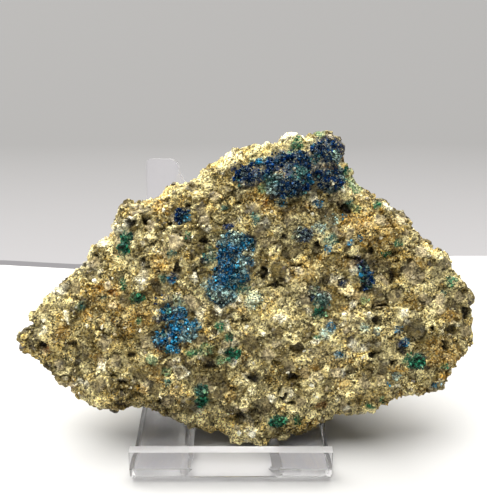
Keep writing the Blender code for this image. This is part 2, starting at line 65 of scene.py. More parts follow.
# ---- camera: pixels are those of the photo, which is 487 wide and 500 high ----
EYE = np.array((-0.000365, -0.210065, 0.1377))
PITCH = math.radians(23)
FOCAL_PX = 872.0
CENTRE_PX = (243.5, 250.0)
LONG_SIDE_PX = 500
FORWARD = np.array((0, math.cos(PITCH), -math.sin(PITCH)))
UP = np.array((0, math.sin(PITCH), math.cos(PITCH)))

# ---- colours, linear ----
CREAM = (0.93, 0.81, 0.41)
IVORY = (0.97, 0.92, 0.70)
KHAKI = (0.47, 0.35, 0.115)
OLIVE = (0.17, 0.125, 0.034)
OCHRE = (0.42, 0.25, 0.045)
RUST = (0.22, 0.085, 0.014)
SMOKY = (0.070, 0.050, 0.015)
GREY = (0.45, 0.37, 0.21)
DARK = (0.012, 0.009, 0.005)
NAVY = (0.001, 0.020, 0.082)
COBALT = (0.020, 0.19, 0.34)
# Painted shade under the crusts.
UNDER_CRUST_SHADE = (0.003, 0.022, 0.045)
DEEP_BLUE = (0.004, 0.085, 0.24)
PALE_BLUE = (0.40, 0.54, 0.47)
TEAL = (0.060, 0.18, 0.15)
EMERALD = (0.012, 0.15, 0.075)
PALE_GREEN = (0.25, 0.42, 0.22)

# The spots on the face, each kind over those before it. A kind has the colour that ground and grains take
# there, how strongly, the ground's lift in mm, and the grit, from 0 to 1, which is how much pale dust and
# nearly black specks of painted shade break up the surface. Then come its spots, as ellipses: their middle
# and their radii in pixels.
SPOTS = {
    # The first two spots, at the stone's lower left edge, are painted shade on its underside; the rest are
    # olive patches.
    "olive_wash": (OLIVE, 0.45, -0.1, 0.5, [
        (120, 412, 16, 12), (150, 405, 16, 12), (425, 398, 14, 8), (240, 375, 14, 10), (270, 248, 14, 12),
        (130, 340, 14, 16), (205, 375, 14, 10), (420, 345, 18, 12), (92, 350, 10, 10), (145, 305, 10, 12),
        (334, 328, 10, 9), (452, 352, 14, 14), (392, 236, 14, 10), (240, 388, 12, 8), (120, 386, 12, 8),
        (330, 265, 10, 10),
    ]),
    "ochre_wash": (OCHRE, 0.36, 0.0, 0.8, [
        (112, 298, 24, 16), (372, 232, 34, 16), (298, 272, 18, 12), (415, 300, 14, 8), (262, 202, 20, 12),
        (450, 355, 12, 16), (150, 375, 12, 10), (138, 320, 20, 14), (165, 265, 12, 14), (330, 355, 14, 8),
        (70, 395, 8, 5), (400, 330, 12, 6),
    ]),
    # The spots at (246, 149) and (190, 188), along the stone's top edge, are painted highlight where the
    # light falls on the top; the rest are pale patches.
    "cream_wash": (CREAM, 0.4, 0.1, 1.0, [
        (246, 149, 38, 10), (190, 188, 28, 9), (440, 282, 20, 18), (356, 322, 18, 10), (360, 385, 20, 10),
        (282, 318, 26, 10), (238, 432, 16, 9), (208, 415, 10, 8), (270, 395, 22, 12), (46, 318, 18, 16),
        (252, 318, 14, 12), (300, 235, 14, 10), (330, 405, 18, 8), (285, 296, 44, 14), (60, 355, 12, 12),
        (330, 356, 20, 10), (392, 325, 12, 10), (212, 418, 13, 12), (120, 352, 18, 10), (300, 358, 14, 9),
        (180, 385, 14, 12), (300, 415, 26, 8), (212, 295, 16, 10), (398, 352, 18, 10), (376, 392, 18, 9),
    ]),
    "cobalt": (COBALT, 0.75, 0.1, 0.8, [
        (231, 262, 12, 26), (222, 284, 14, 12), (238, 242, 9, 8), (244, 276, 6, 9), (180, 314, 7, 6),
        (174, 331, 9, 7), (183, 332, 10, 8), (195, 325, 6, 6), (158, 341, 6, 6), (175, 350, 4, 4),
        (185, 218, 5, 4), (248, 262, 5, 5), (331, 327, 5, 5), (340, 355, 5, 4), (405, 343, 5, 4),
        (399, 330, 5, 4), (437, 385, 4, 3), (351, 243, 4, 3), (360, 238, 3, 3), (345, 216, 3, 4),
        (388, 384, 2, 2), (281, 202, 6, 5), (329, 249, 5, 4), (318, 204, 6, 4), (171, 278, 5, 5),
    ]),
    "deep_blue": (DEEP_BLUE, 0.8, 0.1, 0.6, [
        (226, 266, 8, 15), (232, 252, 6, 7), (222, 281, 5, 4), (178, 316, 6, 5), (163, 341, 5, 4),
        (172, 334, 4, 4), (240, 276, 3, 3), (303, 160, 8, 6), (325, 148, 8, 7), (290, 184, 8, 6),
    ]),
    "navy": (NAVY, 0.95, 0.2, 0.5, [
        (329, 150, 17, 15), (329, 178, 13, 11), (287, 163, 20, 12), (287, 187, 20, 11), (252, 176, 14, 9),
        (305, 170, 12, 10), (298, 154, 9, 5), (274, 158, 9, 5), (336, 174, 6, 7), (236, 167, 6, 5),
        (178, 214, 6, 5), (305, 235, 7, 7), (369, 276, 5, 8), (357, 262, 4, 6), (342, 284, 4, 4),
        (162, 300, 9, 5), (160, 318, 7, 5), (229, 227, 5, 4), (205, 259, 4, 4), (173, 277, 4, 5),
        (402, 345, 5, 4), (311, 298, 3, 3),
    ]),
    "teal": (TEAL, 0.8, 0.05, 0.6, [
        (322, 302, 8, 6), (209, 255, 6, 9), (163, 279, 4, 4), (171, 253, 5, 4), (80, 306, 4, 5),
        (103, 297, 3, 3), (200, 389, 6, 5), (300, 172, 8, 7), (270, 180, 7, 6), (255, 219, 4, 7),
        (444, 293, 4, 4), (330, 240, 6, 6), (242, 288, 8, 5), (168, 383, 3, 4), (315, 158, 5, 5),
        (224, 207, 3, 3), (350, 203, 5, 4),
    ]),
    "emerald": (EMERALD, 0.9, 0.1, 0.6, [
        (126, 238, 5, 7), (121, 253, 4, 5), (139, 298, 6, 5), (191, 353, 6, 4), (233, 354, 8, 6),
        (220, 327, 5, 5), (229, 338, 4, 4), (319, 311, 6, 4), (318, 338, 4, 3), (204, 401, 5, 6),
        (279, 420, 9, 6), (297, 420, 4, 5), (413, 360, 10, 7), (450, 282, 4, 7), (348, 169, 4, 6),
        (296, 144, 5, 7), (123, 284, 4, 6), (382, 401, 2, 3), (399, 243, 5, 3), (377, 205, 4, 4),
        (188, 235, 3, 4), (386, 254, 5, 3), (445, 366, 4, 3), (369, 405, 4, 2), (139, 321, 3, 3),
    ]),
    "ochre": (OCHRE, 0.55, 0.0, 0.7, [
        (162, 210, 7, 6), (155, 261, 6, 6), (105, 289, 13, 8), (117, 308, 10, 8), (157, 352, 6, 4),
        (354, 219, 15, 9), (348, 263, 11, 6), (367, 241, 8, 6), (343, 166, 4, 2), (418, 263, 10, 5),
        (345, 309, 5, 4), (342, 384, 9, 6), (450, 317, 8, 8), (434, 346, 8, 7), (178, 390, 7, 6),
        (142, 390, 7, 5), (229, 393, 6, 9), (71, 387, 6, 4), (328, 167, 9, 1.2), (264, 196, 6, 7),
        (96, 357, 6, 5), (278, 172, 5, 3), (437, 362, 8, 6), (64, 331, 8, 8),
    ]),
    "rust": (RUST, 0.75, -0.1, 0.5, [
        (45, 348, 5, 5), (112, 292, 5, 4), (322, 406, 6, 3), (158, 349, 4, 3), (264, 203, 3, 4),
    ]),
    # The spots from (276, 138) to (170, 193), with (100, 240) and (75, 270), run along the stone's top edge
    # and down its upper left slope: painted highlight where the light falls on the top. The rest are pale
    # grains.
    "cream": (CREAM, 0.75, 0.15, 0.8, [
        (252, 434, 7, 9), (239, 434, 7, 9), (94, 281, 6, 4), (157, 312, 4, 7), (105, 327, 4, 4),
        (234, 364, 9, 4), (247, 327, 6, 6), (44, 320, 6, 6), (44, 337, 6, 5), (241, 382, 6, 5),
        (263, 333, 6, 6), (254, 364, 5, 5), (278, 312, 16, 9), (402, 313, 8, 6), (319, 323, 6, 5),
        (362, 357, 9, 5), (346, 408, 9, 5), (311, 385, 10, 7), (367, 313, 9, 5), (248, 254, 6, 4),
        (236, 231, 7, 4), (410, 241, 8, 6), (424, 248, 8, 5), (276, 138, 18, 6), (254, 153, 16, 6),
        (225, 162, 16, 7), (200, 178, 12, 6), (170, 193, 13, 5), (100, 240, 12, 7), (75, 270, 12, 7),
        (160, 300, 8, 4), (334, 340, 8, 7), (120, 260, 9, 7), (333, 183, 3, 3), (243, 184, 2, 2),
        (350, 398, 8, 5), (190, 418, 14, 6), (255, 300, 8, 8), (316, 214, 4, 3), (95, 399, 14, 5),
        (130, 372, 7, 5), (60, 300, 12, 6), (273, 250, 6, 5), (300, 217, 9, 4),
    ]),
    # The spots at (283, 136), (262, 143), (236, 156), (101, 241), (80, 264), (58, 290) and (112, 230) run
    # along the stone's top edge: painted highlight where the light falls on the top. The rest are pale
    # grains.
    "ivory": (IVORY, 0.85, 0.15, 0.5, [
        (283, 136, 15, 4), (262, 143, 9, 4), (236, 156, 8, 4), (101, 241, 7, 6), (80, 264, 7, 5),
        (58, 290, 7, 5), (112, 230, 5, 5), (250, 430, 5, 6), (60, 366, 5, 4), (44, 330, 4, 5),
        (233, 363, 5, 3), (404, 313, 4, 4), (345, 407, 5, 3), (316, 341, 4, 3), (368, 314, 4, 3),
        (280, 318, 6, 4), (424, 250, 5, 4), (270, 398, 4, 4),
    ]),
    "pale_green": (PALE_GREEN, 0.6, 0.0, 0.9, [
        (318, 133, 7, 3), (357, 188, 5, 5), (206, 349, 8, 6), (151, 360, 5, 4), (221, 361, 5, 4),
        (357, 209, 5, 4), (365, 301, 4, 4), (166, 373, 4, 4), (352, 182, 4, 5), (336, 154, 4, 4),
        (262, 190, 4, 4), (289, 150, 4, 3),
    ]),
    "pale_blue": (PALE_BLUE, 0.65, 0.0, 0.9, [
        (243, 266, 4, 10), (235, 240, 7, 4), (222, 294, 12, 6), (185, 338, 6, 5), (222, 297, 14, 7),
        (206, 287, 6, 5), (230, 236, 8, 5), (178, 299, 5, 6), (190, 334, 8, 7), (254, 300, 8, 9),
        (326, 333, 6, 5), (364, 328, 5, 4), (377, 331, 4, 4), (397, 376, 4, 4), (336, 156, 4, 5),
        (320, 228, 8, 6), (332, 220, 9, 6), (271, 190, 6, 6),
    ]),
    # Pits: sunk, and painted near black as painted shade in the pits and cracks.
    "pit": (DARK, 0.97, -1.3, 0.1, [
        (178, 270, 4, 5), (211, 366, 6, 4), (240, 415, 7, 5), (254, 379, 7, 5), (132, 355, 4, 3),
        (132, 223, 5, 3), (145, 220, 4, 4), (275, 285, 8, 2), (264, 273, 2, 6), (285, 238, 3, 4),
        (346, 209, 4, 4), (362, 290, 2, 4), (342, 398, 3, 3), (393, 363, 3, 4), (402, 351, 5, 3),
        (452, 329, 5, 5), (466, 312, 4, 5), (365, 262, 3, 4), (393, 276, 4, 7), (370, 248, 2, 5),
        (291, 403, 4, 2), (279, 390, 2, 3), (284, 398, 3, 3), (297, 348, 5, 4), (122, 382, 5, 2),
        (112, 376, 6, 1.5), (145, 259, 3, 3), (157, 272, 3, 2), (188, 206, 4, 3), (169, 222, 3, 2),
        (237, 203, 3, 2), (373, 355, 3, 3), (432, 328, 2, 2), (292, 376, 5, 3), (377, 321, 4, 3),
        (160, 403, 5, 4), (95, 256, 3, 2), (240, 321, 9, 1.5), (42, 346, 4, 5), (72, 344, 4, 3),
        (385, 305, 12, 1.5), (352, 259, 10, 1.5), (137, 397, 8, 1.5), (148, 268, 3, 2), (340, 206, 1, 6),
        (316, 245, 3, 3), (420, 300, 3, 2), (205, 240, 3, 3), (300, 265, 6, 1.5), (447, 346, 3, 5),
    ]),
    # Painted shadow: dark strips, also sunk, under the lower edges of the crest and of the crusts, and
    # along the stone's lower left edge.
    "shade": (DARK, 0.9, -0.7, 0.1, [
        (246, 188, 10, 2), (275, 196, 5, 2), (300, 196, 11, 2.5), (330, 192, 13, 2.5), (284, 203, 5, 2),
        (222, 303, 9, 1.5), (161, 347, 6, 1.5), (182, 346, 10, 1.5), (165, 328, 5, 1.5), (305, 243, 5, 1.5),
        (322, 311, 6, 1.5), (366, 285, 4, 2), (262, 176, 2, 3), (316, 180, 1.5, 7), (148, 412, 12, 3),
        (120, 404, 10, 2.5), (163, 408, 6, 2),
    ]),
}

# The large quartz grains: their middle, their radii in pixels and how pale they are.
QUARTZ = (
    (278, 271, 9, 8, 0), (295, 251, 7, 6, 0.1), (251, 209, 5, 8, 0), (329, 217, 9, 6, 0.2),
    (318, 188, 7, 5, 0), (402, 217, 6, 5, 0.7), (380, 219, 6, 5, 0.5), (413, 274, 12, 8, 0.9),
    (421, 252, 6, 5, 0.9), (445, 263, 6, 5, 0.4), (278, 333, 6, 6, 0.1), (251, 344, 8, 7, 0.1),
    (416, 329, 10, 8, 0), (452, 330, 6, 6, 0), (263, 406, 7, 8, 0.3), (378, 293, 6, 6, 0.1),
    (139, 373, 10, 6, 0), (220, 379, 9, 7, 0), (220, 392, 9, 5, 0.1), (116, 361, 7, 6, 0.5),
    (191, 410, 5, 6, 0), (154, 389, 6, 6, 0.1), (180, 372, 5, 5, 0.1), (175, 243, 9, 7, 0.9),
    (201, 250, 6, 6, 0), (191, 187, 6, 5, 0.1), (137, 210, 7, 5, 0.4), (373, 260, 7, 4, 0),
    (95, 262, 5, 5, 0.4), (90, 275, 9, 5, 0.1), (44, 310, 5, 4, 0.2), (104, 343, 7, 6, 0.7),
    (60, 365, 6, 5, 0.9), (345, 407, 7, 5, 0.9), (466, 331, 5, 5, 0.5), (297, 349, 7, 6, 0.1),
    (75, 286, 8, 5, 0.3), (125, 300, 6, 6, 0.1), (335, 373, 6, 5, 0.8), (300, 403, 6, 5, 0.5),
    (383, 368, 6, 5, 0.1), (365, 383, 7, 5, 0.9), (425, 300, 7, 5, 1), (395, 296, 7, 6, 0.3),
    (440, 300, 6, 5, 0.8), (200, 210, 6, 5, 0.6), (214, 195, 6, 5, 0.5), (260, 232, 6, 5, 0.3),
    (150, 225, 6, 5, 0.9), (188, 300, 5, 4, 0.8), (268, 355, 7, 6, 0.8), (289, 366, 6, 5, 0.5),
    (99, 385, 8, 6, 0.3), (305, 300, 6, 5, 0.8), (460, 296, 5, 5, 0.8), (200, 340, 7, 5, 0.3),
    (168, 402, 6, 5, 0.6), (350, 233, 6, 4, 0.5),
)


# Single pale grains that catch the eye: x, y, half width.
LONE_GRAINS = (
    (333, 183, 3.6), (243, 184, 2.6), (163, 210, 3.6), (94, 281, 4.0), (103, 327, 3.8), (157, 311, 3.6),
    (158, 318, 3.0), (233, 363, 3.4), (404, 313, 5.0), (253, 434, 6.5), (239, 433, 5.0), (44, 320, 4.5),
    (247, 327, 4.5), (263, 333, 4.5), (254, 364, 4.0), (346, 408, 5.0), (294, 168, 2.6), (300, 182, 2.2),
    (312, 214, 3.0), (362, 357, 4.0), (311, 385, 4.5), (206, 262, 3.0), (381, 238, 3.2), (140, 331, 3.2),
)


# ---- meshes ----

WELD = 2e-6
FRACTAL = (0.8, 2.1, 3)  # how fast its octaves fade, how much finer each one is, and how many there are


def new_object(name, data):
    obj = bpy.data.objects.new(name, data)
    bpy.context.scene.collection.objects.link(obj)
    return obj


def settle(thing, **settings):
    for key, value in settings.items():
        setattr(thing, key, value)


def mesh_from(name, points, faces):
    mesh = bpy.data.meshes.new(name)
    mesh.from_pydata([tuple(p) for p in points], [], [tuple(f) for f in faces])
    mesh.validate()
    return mesh


def bmesh_of(*meshes):
    bm = bmesh.new()
    for mesh in meshes:
        bm.from_mesh(mesh)
    return bm


def tree_of(bm):
    """A tree to look up places on a bmesh, which is freed."""
    tree = BVHTree.FromBMesh(bm)
    bm.free()
    return tree


def cad_bmesh(name, grow=0.0):
    """A CAD node's mesh with its corners joined, made larger all round by grow."""
    bm = bmesh_of(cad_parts[name].data)
    bmesh.ops.remove_doubles(bm, verts=bm.verts, dist=WELD)
    bm.normal_update()
    for vert in bm.verts:
        vert.co += vert.normal * grow
    return bm


def remeshed(name, sources, voxel):
    """One even skin around meshes, as a new mesh."""
    joined = bpy.data.meshes.new(name + "_source")
    whole = bmesh.new()
    for bm in sources:
        bm.to_mesh(joined)
        whole.from_mesh(joined)
        bm.free()
    whole.to_mesh(joined)
    whole.free()
    obj = new_object(name + "_source", joined)
    settle(obj.modifiers.new("skin", "REMESH"), mode="VOXEL", voxel_size=voxel)
    graph = bpy.context.evaluated_depsgraph_get()
    mesh = bpy.data.meshes.new_from_object(obj.evaluated_get(graph))
    bpy.data.objects.remove(obj)
    bpy.data.meshes.remove(joined)
    mesh.name = name
    return mesh


def arrays(mesh):
    """A mesh's points and the normals at them."""
    found = []
    for items, key in ((mesh.vertices, "co"), (mesh.vertex_normals, "vector")):
        values = np.empty(len(mesh.vertices) * 3, np.float32)
        items.foreach_get(key, values)
        found.append(values.reshape(-1, 3).astype(float))
    return found


def put_points(mesh, points):
    mesh.vertices.foreach_set("co", points.astype(np.float32).ravel())
    mesh.update()


def put_tint(mesh, tints):
    """Colours with their grit as a fourth value."""
    layer = mesh.color_attributes.new("tint", "FLOAT_COLOR", "POINT")
    layer.data.foreach_set("color", np.clip(tints, 0, 1).astype(np.float32).ravel())


def shaded(tints, factor):
    """Tints made lighter or darker, with their grit as it was."""
    factor = np.asarray(factor)[..., None]
    return np.concatenate((tints[..., :3] * factor, tints[..., 3:]), -1)


def noise_at(points, size, shift):
    """Smooth noise from -1 to 1 at each point; each shift gives another pattern."""
    moved = points / size + shift
    return np.array([noise.noise(Vector(p)) for p in moved])


def fractal_at(points, size, shift):
    """Noise with finer noise in it."""
    moved = points / size + shift
    return np.array([noise.fractal(Vector(p), *FRACTAL) for p in moved])


# ---- the camera's pixels and the stone's face ----

SPOT_REACH, SPOT_EDGE = 1.25, 2.2  # where a spot ends, in half widths, and how steep its edge is


def seen_at(points):
    """The pixels at which the camera sees points."""
    away = points - EYE
    depth = away @ FORWARD
    return CENTRE_PX[0] + FOCAL_PX * away[:, 0] / depth, CENTRE_PX[1] - FOCAL_PX * (away @ UP) / depth


def line_through(x, y):
    """The way from the camera through a pixel, as far as one unit of depth."""
    line = FORWARD + UP * (CENTRE_PX[1] - y) / FOCAL_PX
    line[0] = (x - CENTRE_PX[0]) / FOCAL_PX
    return line


def surface_at(tree, x, y):
    """Where a pixel shows a surface, with its normal and the pixel's size there."""
    spot, normal, _, _ = tree.ray_cast(Vector(EYE), Vector(line_through(x, y)).normalized())
    if spot is None:
        return None
    return np.array(spot), np.array(normal), (spot - Vector(EYE)).dot(Vector(FORWARD)) / FOCAL_PX


def spot_share(x, y, kind, wobble):
    """How far inside the spots of a kind each pixel is: 1 at a spot's middle, 0 from its edge out."""
    share = np.zeros(len(x))
    for cx, cy, rx, ry in SPOTS[kind][-1]:
        away = np.hypot((x - cx) / rx, (y - cy) / ry) + wobble
        share = np.maximum(share, np.clip((SPOT_REACH - away) * SPOT_EDGE, 0, 1))
    return share


# ---- shards and crystals, about one unit in radius ----

SHARD_RADII = (0.85, 1.05)
CRYSTAL_SIDES = (4, 7)  # four to six of them
CRYSTAL_HEIGHTS = (0.9, 1.7)  # over its width
CRYSTAL_TOP, CRYSTAL_FOOT = 0.62, 0.75  # half widths
CRYSTAL_FLATNESS = 0.8
CRYSTAL_SLANT = 0.35
CORNER_PLAY = 0.2


def hull_arrays(bm):
    """The corners and the triangles of the hull around a bmesh, which is freed."""
    hull = bmesh.ops.convex_hull(bm, input=bm.verts)
    loose = [item for item in hull["geom_interior"] if isinstance(item, bmesh.types.BMVert)]
    bmesh.ops.delete(bm, geom=loose, context="VERTS")
    bmesh.ops.recalc_face_normals(bm, faces=bm.faces)
    bmesh.ops.triangulate(bm, faces=bm.faces)
    bm.verts.index_update()
    points = np.array([vert.co[:] for vert in bm.verts])
    faces = np.array([[vert.index for vert in face.verts] for face in bm.faces])
    bm.free()
    return points, faces


def shard_shape(corners, stretch):
    """The hull of random corners."""
    bm = bmesh.new()
    size = rng.uniform(1 - stretch, 1, 3)
    for _ in range(corners):
        point = rng.normal(size=3)
        bm.verts.new(point / np.linalg.norm(point) * rng.uniform(*SHARD_RADII) * size)
    return hull_arrays(bm)


def crystal_shape():
    """A stubby prism with slanted ends."""
    bm = bmesh.new()
    sides = int(rng.integers(*CRYSTAL_SIDES))
    tall = rng.uniform(*CRYSTAL_HEIGHTS)
    for end, wide in ((-1, CRYSTAL_FOOT), (1, CRYSTAL_TOP)):
        tilt = rng.normal(size=2) * CRYSTAL_SLANT
        for side in range(sides):
            turn = math.tau * side / sides + rng.uniform(-CORNER_PLAY, CORNER_PLAY)
            x, y = wide * math.cos(turn), wide * math.sin(turn) * CRYSTAL_FLATNESS
            bm.verts.new((x, y, end * tall * 0.6 + tilt[0] * x + tilt[1] * y))
    return hull_arrays(bm)


def one_of(shapes):
    return shapes[rng.integers(len(shapes))]


class Heap:
    """Many small forms gathered into one mesh, each with its own tint."""

    def __init__(self):
        self.points, self.faces, self.tints, self.total = [], [], [], 0

    def add(self, shape, place, normal, size, tint, lean, squash=1.0, uneven=0.2):
        """Puts a form at a place, its up axis near the normal, with corners of uneven lightness."""
        points, faces = shape
        points = points * np.array((1, 1, squash)) * size
        spin = Matrix.Rotation(rng.uniform(0, math.tau), 3, "Z")
        up = (Vector(normal) + Vector(rng.normal(size=3) * lean)).normalized()
        turn = Vector((0, 0, 1)).rotation_difference(up).to_matrix() @ spin
        self.points.append(points @ np.array(turn).T + place)
        self.faces.append(faces + self.total)
        tints = np.tile(tint, (len(points), 1))
        self.tints.append(shaded(tints, rng.uniform(1 - uneven, 1 + uneven, len(points))))
        self.total += len(points)

    def mesh(self, name):
        mesh = mesh_from(name, np.concatenate(self.points), np.concatenate(self.faces))
        put_tint(mesh, np.concatenate(self.tints))
        put_points(mesh, kept_clear(arrays(mesh)[0]))
        return mesh


# ---- materials ----


def feed(tree, socket, value):
    """Gives a socket a plain value or another socket's."""
    if isinstance(value, bpy.types.NodeSocket):
        tree.links.new(value, socket)
    else:
        socket.default_value = value


def node(tree, kind, **values):
    """A new node with its properties, and its sockets fed."""
    made = tree.nodes.new(kind)
    for key, value in values.items():
        if hasattr(made, key):
            setattr(made, key, value)
        else:
            feed(tree, made.inputs[key], value)
    return made


def new_material(name):
    material = bpy.data.materials.new(name)
    material.use_nodes = True
    return material, material.node_tree


def place_in(tree):
    return node(tree, "ShaderNodeTexCoord").outputs["Object"]


def finish_shader(tree, **values):
    """Feeds the Principled shader's sockets, with _ for each space in their names."""
    for key, value in values.items():
        feed(tree, tree.nodes["Principled BSDF"].inputs[key.replace("_", " ")], value)


def ranged(tree, source, low, high, least=0.0, most=1.0):
    """A value carried from least..most to low..high, held within them."""
    limits = {"From Min": least, "From Max": most, "To Min": low, "To Max": high}
    return node(tree, "ShaderNodeMapRange", Value=source, **limits).outputs["Result"]


def mixed(tree, share, first, second):
    """Two colours mixed by a share; each may be a socket or a plain colour."""
    made = node(tree, "ShaderNodeMix", data_type="RGBA", Factor=share)
    for colour, socket in ((first, made.inputs[6]), (second, made.inputs[7])):
        feed(tree, socket, (*colour, 1) if isinstance(colour, tuple) else colour)
    return made.outputs[2]


def calc(tree, operation, *values):
    """A number worked out from sockets and plain numbers."""
    made = node(tree, "ShaderNodeMath", operation=operation)
    for value, socket in zip(values, made.inputs):
        feed(tree, socket, value)
    return made.outputs[0]


def mineral(name, grain, speckle, rough, bump, dust, shade_specks, shine, dust_colour=CREAM, coat=0.0):
    """A mineral whose tint is broken up into grains of its own, with a fine uneven surface.

    grain and bump are the size of its grains and the depth of its relief in mm, speckle how unlike the
    grains are, rough the least and greatest roughness, dust the share of grains that are pale, and the
    shade specks the share that are nearly black, as painted shade of tiny pits, where the grit is 1."""
    grain = grain * MM
    material, tree = new_material(name)
    place = place_in(tree)
    tint = node(tree, "ShaderNodeAttribute", attribute_name="tint")
    grit = tint.outputs["Alpha"]
    cloudy = node(tree, "ShaderNodeTexNoise", Vector=place, Scale=0.45 / grain, Detail=6.0, Roughness=0.72)
    cells = node(tree, "ShaderNodeTexVoronoi", Vector=place, Scale=1 / grain)
    relief = node(tree, "ShaderNodeTexNoise", Vector=place, Scale=0.9 / grain, Detail=5.0, Roughness=0.75)
    random = node(tree, "ShaderNodeSeparateColor", Color=cells.outputs["Color"]).outputs

    clouds = ranged(tree, cloudy.outputs["Fac"], -speckle, speckle, 0.33, 0.67)
    chips = ranged(tree, random["Red"], -speckle, speckle)
    amount = ranged(tree, grit, 0.45, 1.0)
    swings = [calc(tree, "MULTIPLY_ADD", part, amount, 1.0) for part in (clouds, chips)]
    mottled = node(tree, "ShaderNodeVectorMath", operation="SCALE", Vector=tint.outputs["Color"],
                   Scale=calc(tree, "MULTIPLY", *swings))

    dusty = ranged(tree, random["Green"], 0.0, 0.8, 1 - dust, 1 - dust * 0.6)
    colour = mixed(tree, calc(tree, "MULTIPLY", dusty, grit), mottled.outputs[0], dust_colour)
    # Nearly black specks: painted shade of tiny pits between the grains.
    shade_speckled = ranged(tree, random["Blue"], 0.85, 0.0, shade_specks * 0.5, shade_specks)
    colour = mixed(tree, calc(tree, "MULTIPLY", shade_speckled, amount), colour, DARK)
    gloss = calc(tree, "MULTIPLY", ranged(tree, random["Red"], *rough), ranged(tree, grit, 0.3, 1.0))
    bumps = node(tree, "ShaderNodeBump", Distance=bump * MM, Strength=amount, Height=relief.outputs["Fac"])
    finish_shader(tree, Base_Color=colour, Roughness=gloss, Normal=bumps.outputs["Normal"], IOR=1.54,
                  Specular_IOR_Level=shine, Coat_Weight=coat, Coat_Roughness=0.08)
    return material


def finish_piece(mesh, material, slot, *replaced):
    """A mesh as a piece of the object, which has the mesh's name."""
    mesh.materials.clear()
    mesh.materials.append(material)
    obj = new_object(mesh.name, mesh)
    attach(obj, "root")
    if replaced:
        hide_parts(*replaced)
    return obj


# ---- where pieces may not go ----

EASEL_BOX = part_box("acrylic_easel")
EASEL_MIDDLE = (EASEL_BOX[0].x + EASEL_BOX[1].x) / 2
EASEL_HALF = (EASEL_BOX[1].x - EASEL_BOX[0].x) / 2
SHEET = 2.6 * MM
SLOT_HALF = 9.8 * MM
BACK_LEAN = math.radians(13)
BACK_FOOT = np.array((0, 0.01667, 0.0013))  # a point of the sheet's middle, where the back rises
BACK_OUT = np.array((0, math.cos(BACK_LEAN), -math.sin(BACK_LEAN)))
ASIDE = 0.9 * MM  # more than the skin's faces are wide, so that none reaches across an edge of the easel
EASEL_GAP = 0.12 * MM
FLOOR_GAP = 0.3 * MM
BOX_GAP = 1e-5


def kept_clear(points):
    """Points moved out of the easel's runners and back, and into the part's box."""
    points = points.copy()
    across = np.abs(points[:, 0] - EASEL_MIDDLE)
    over = (across > SLOT_HALF - ASIDE) & (across < EASEL_HALF + ASIDE)
    low = over & (points[:, 2] < SHEET + EASEL_GAP)
    points[low, 2] = SHEET + EASEL_GAP
    points[:, 2] = np.maximum(points[:, 2], FLOOR_GAP)
    beyond = (points - BACK_FOOT) @ BACK_OUT + SHEET / 2 + EASEL_GAP
    behind = (across < EASEL_HALF + ASIDE) & (beyond > 0) & (points[:, 2] < EASEL_BOX[1].z)
    points[behind] -= beyond[behind, None] * BACK_OUT
    return np.clip(points, np.array(CAD_BOX[0]) + BOX_GAP, np.array(CAD_BOX[1]) - BOX_GAP)


# ---- the stone: helpers ----

CRUSTS = [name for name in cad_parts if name.startswith(("azurite_", "malachite_"))]
STONE_LEAN = math.radians(20)
FACE_OUT = np.array((0, -math.cos(STONE_LEAN), math.sin(STONE_LEAN)))
ON_FACE = 0.05  # the least share of a face point's normal along FACE_OUT
RIM_EDGE, RIM_REACH = 3, 0.9  # how steeply the face's spots end past its rim, and how far past it
NEIGHBOURS = 7

# Colours with how common they are and their grit.
LARGE_COLOURS = (
    (KHAKI, 0.25, 0.95), (OLIVE, 0.25, 0.25), (SMOKY, 0.15, 0.12), (CREAM, 0.18, 0.6),
    (IVORY, 0.06, 0.4), (GREY, 0.05, 0.2), (OCHRE, 0.06, 0.8),
)
SMALL_COLOURS = (
    (CREAM, 0.42, 1.0), (IVORY, 0.08, 0.9), (KHAKI, 0.22, 0.7), (OLIVE, 0.16, 0.4), (DARK, 0.12, 0.2),
)
QUARTZ_COLOURS = ((SMOKY, 0.45, 0.15), (OLIVE, 0.35, 0.2), (GREY, 0.2, 0.2))
CHALK_COLOURS = ((CREAM, 0.5, 0.7), (IVORY, 0.2, 0.5), (KHAKI, 0.3, 0.7))
COLOUR_SPREAD = 0.2

# How far the edges of spots and of quartz grains wander, in pixels, and the size of the noise.
SPOT_FRAY, QUARTZ_FRAY, FRAY_SIZE = 2.6, 1.5, 1.5 * MM
WOBBLE, WOBBLE_SIZE = 0.25, 0.7 * MM


def random_places(normals, count, front_share):
    """Random places on the skin, with a share of them on its face."""
    facing = normals @ FACE_OUT > ON_FACE
    front, back = np.flatnonzero(facing), np.flatnonzero(~facing)
    split = int(count * front_share)
    return np.concatenate((rng.choice(front, split), rng.choice(back, count - split)))


def cell_fields(points, seeds, radii):
    """Each point's grain, by its seed, how far it is from the grain's edge and how far from its middle."""
    tree = kdtree.KDTree(len(seeds))
    for index, seed in enumerate(seeds):
        tree.insert(seed, index)
    tree.balance()
    owner = np.empty(len(points), int)
    edge, middle = np.empty((2, len(points)))
    for number, point in enumerate(points):
        found = sorted((d - radii[index], index, d) for _, index, d in tree.find_n(point, NEIGHBOURS))
        owner[number] = found[0][1]
        edge[number] = found[1][0] - found[0][0]
        middle[number] = found[0][2]
    return owner, edge, middle


def picked(choices, count):
    """Random tints, each a little lighter or darker than its colour."""
    tints = np.array([(*colour, grit) for colour, _, grit in choices])
    weights = np.array([weight for _, weight, _ in choices])
    chosen = tints[rng.choice(len(tints), count, p=weights / weights.sum())]
    return shaded(chosen, rng.uniform(1 - COLOUR_SPREAD, 1 + COLOUR_SPREAD, count))


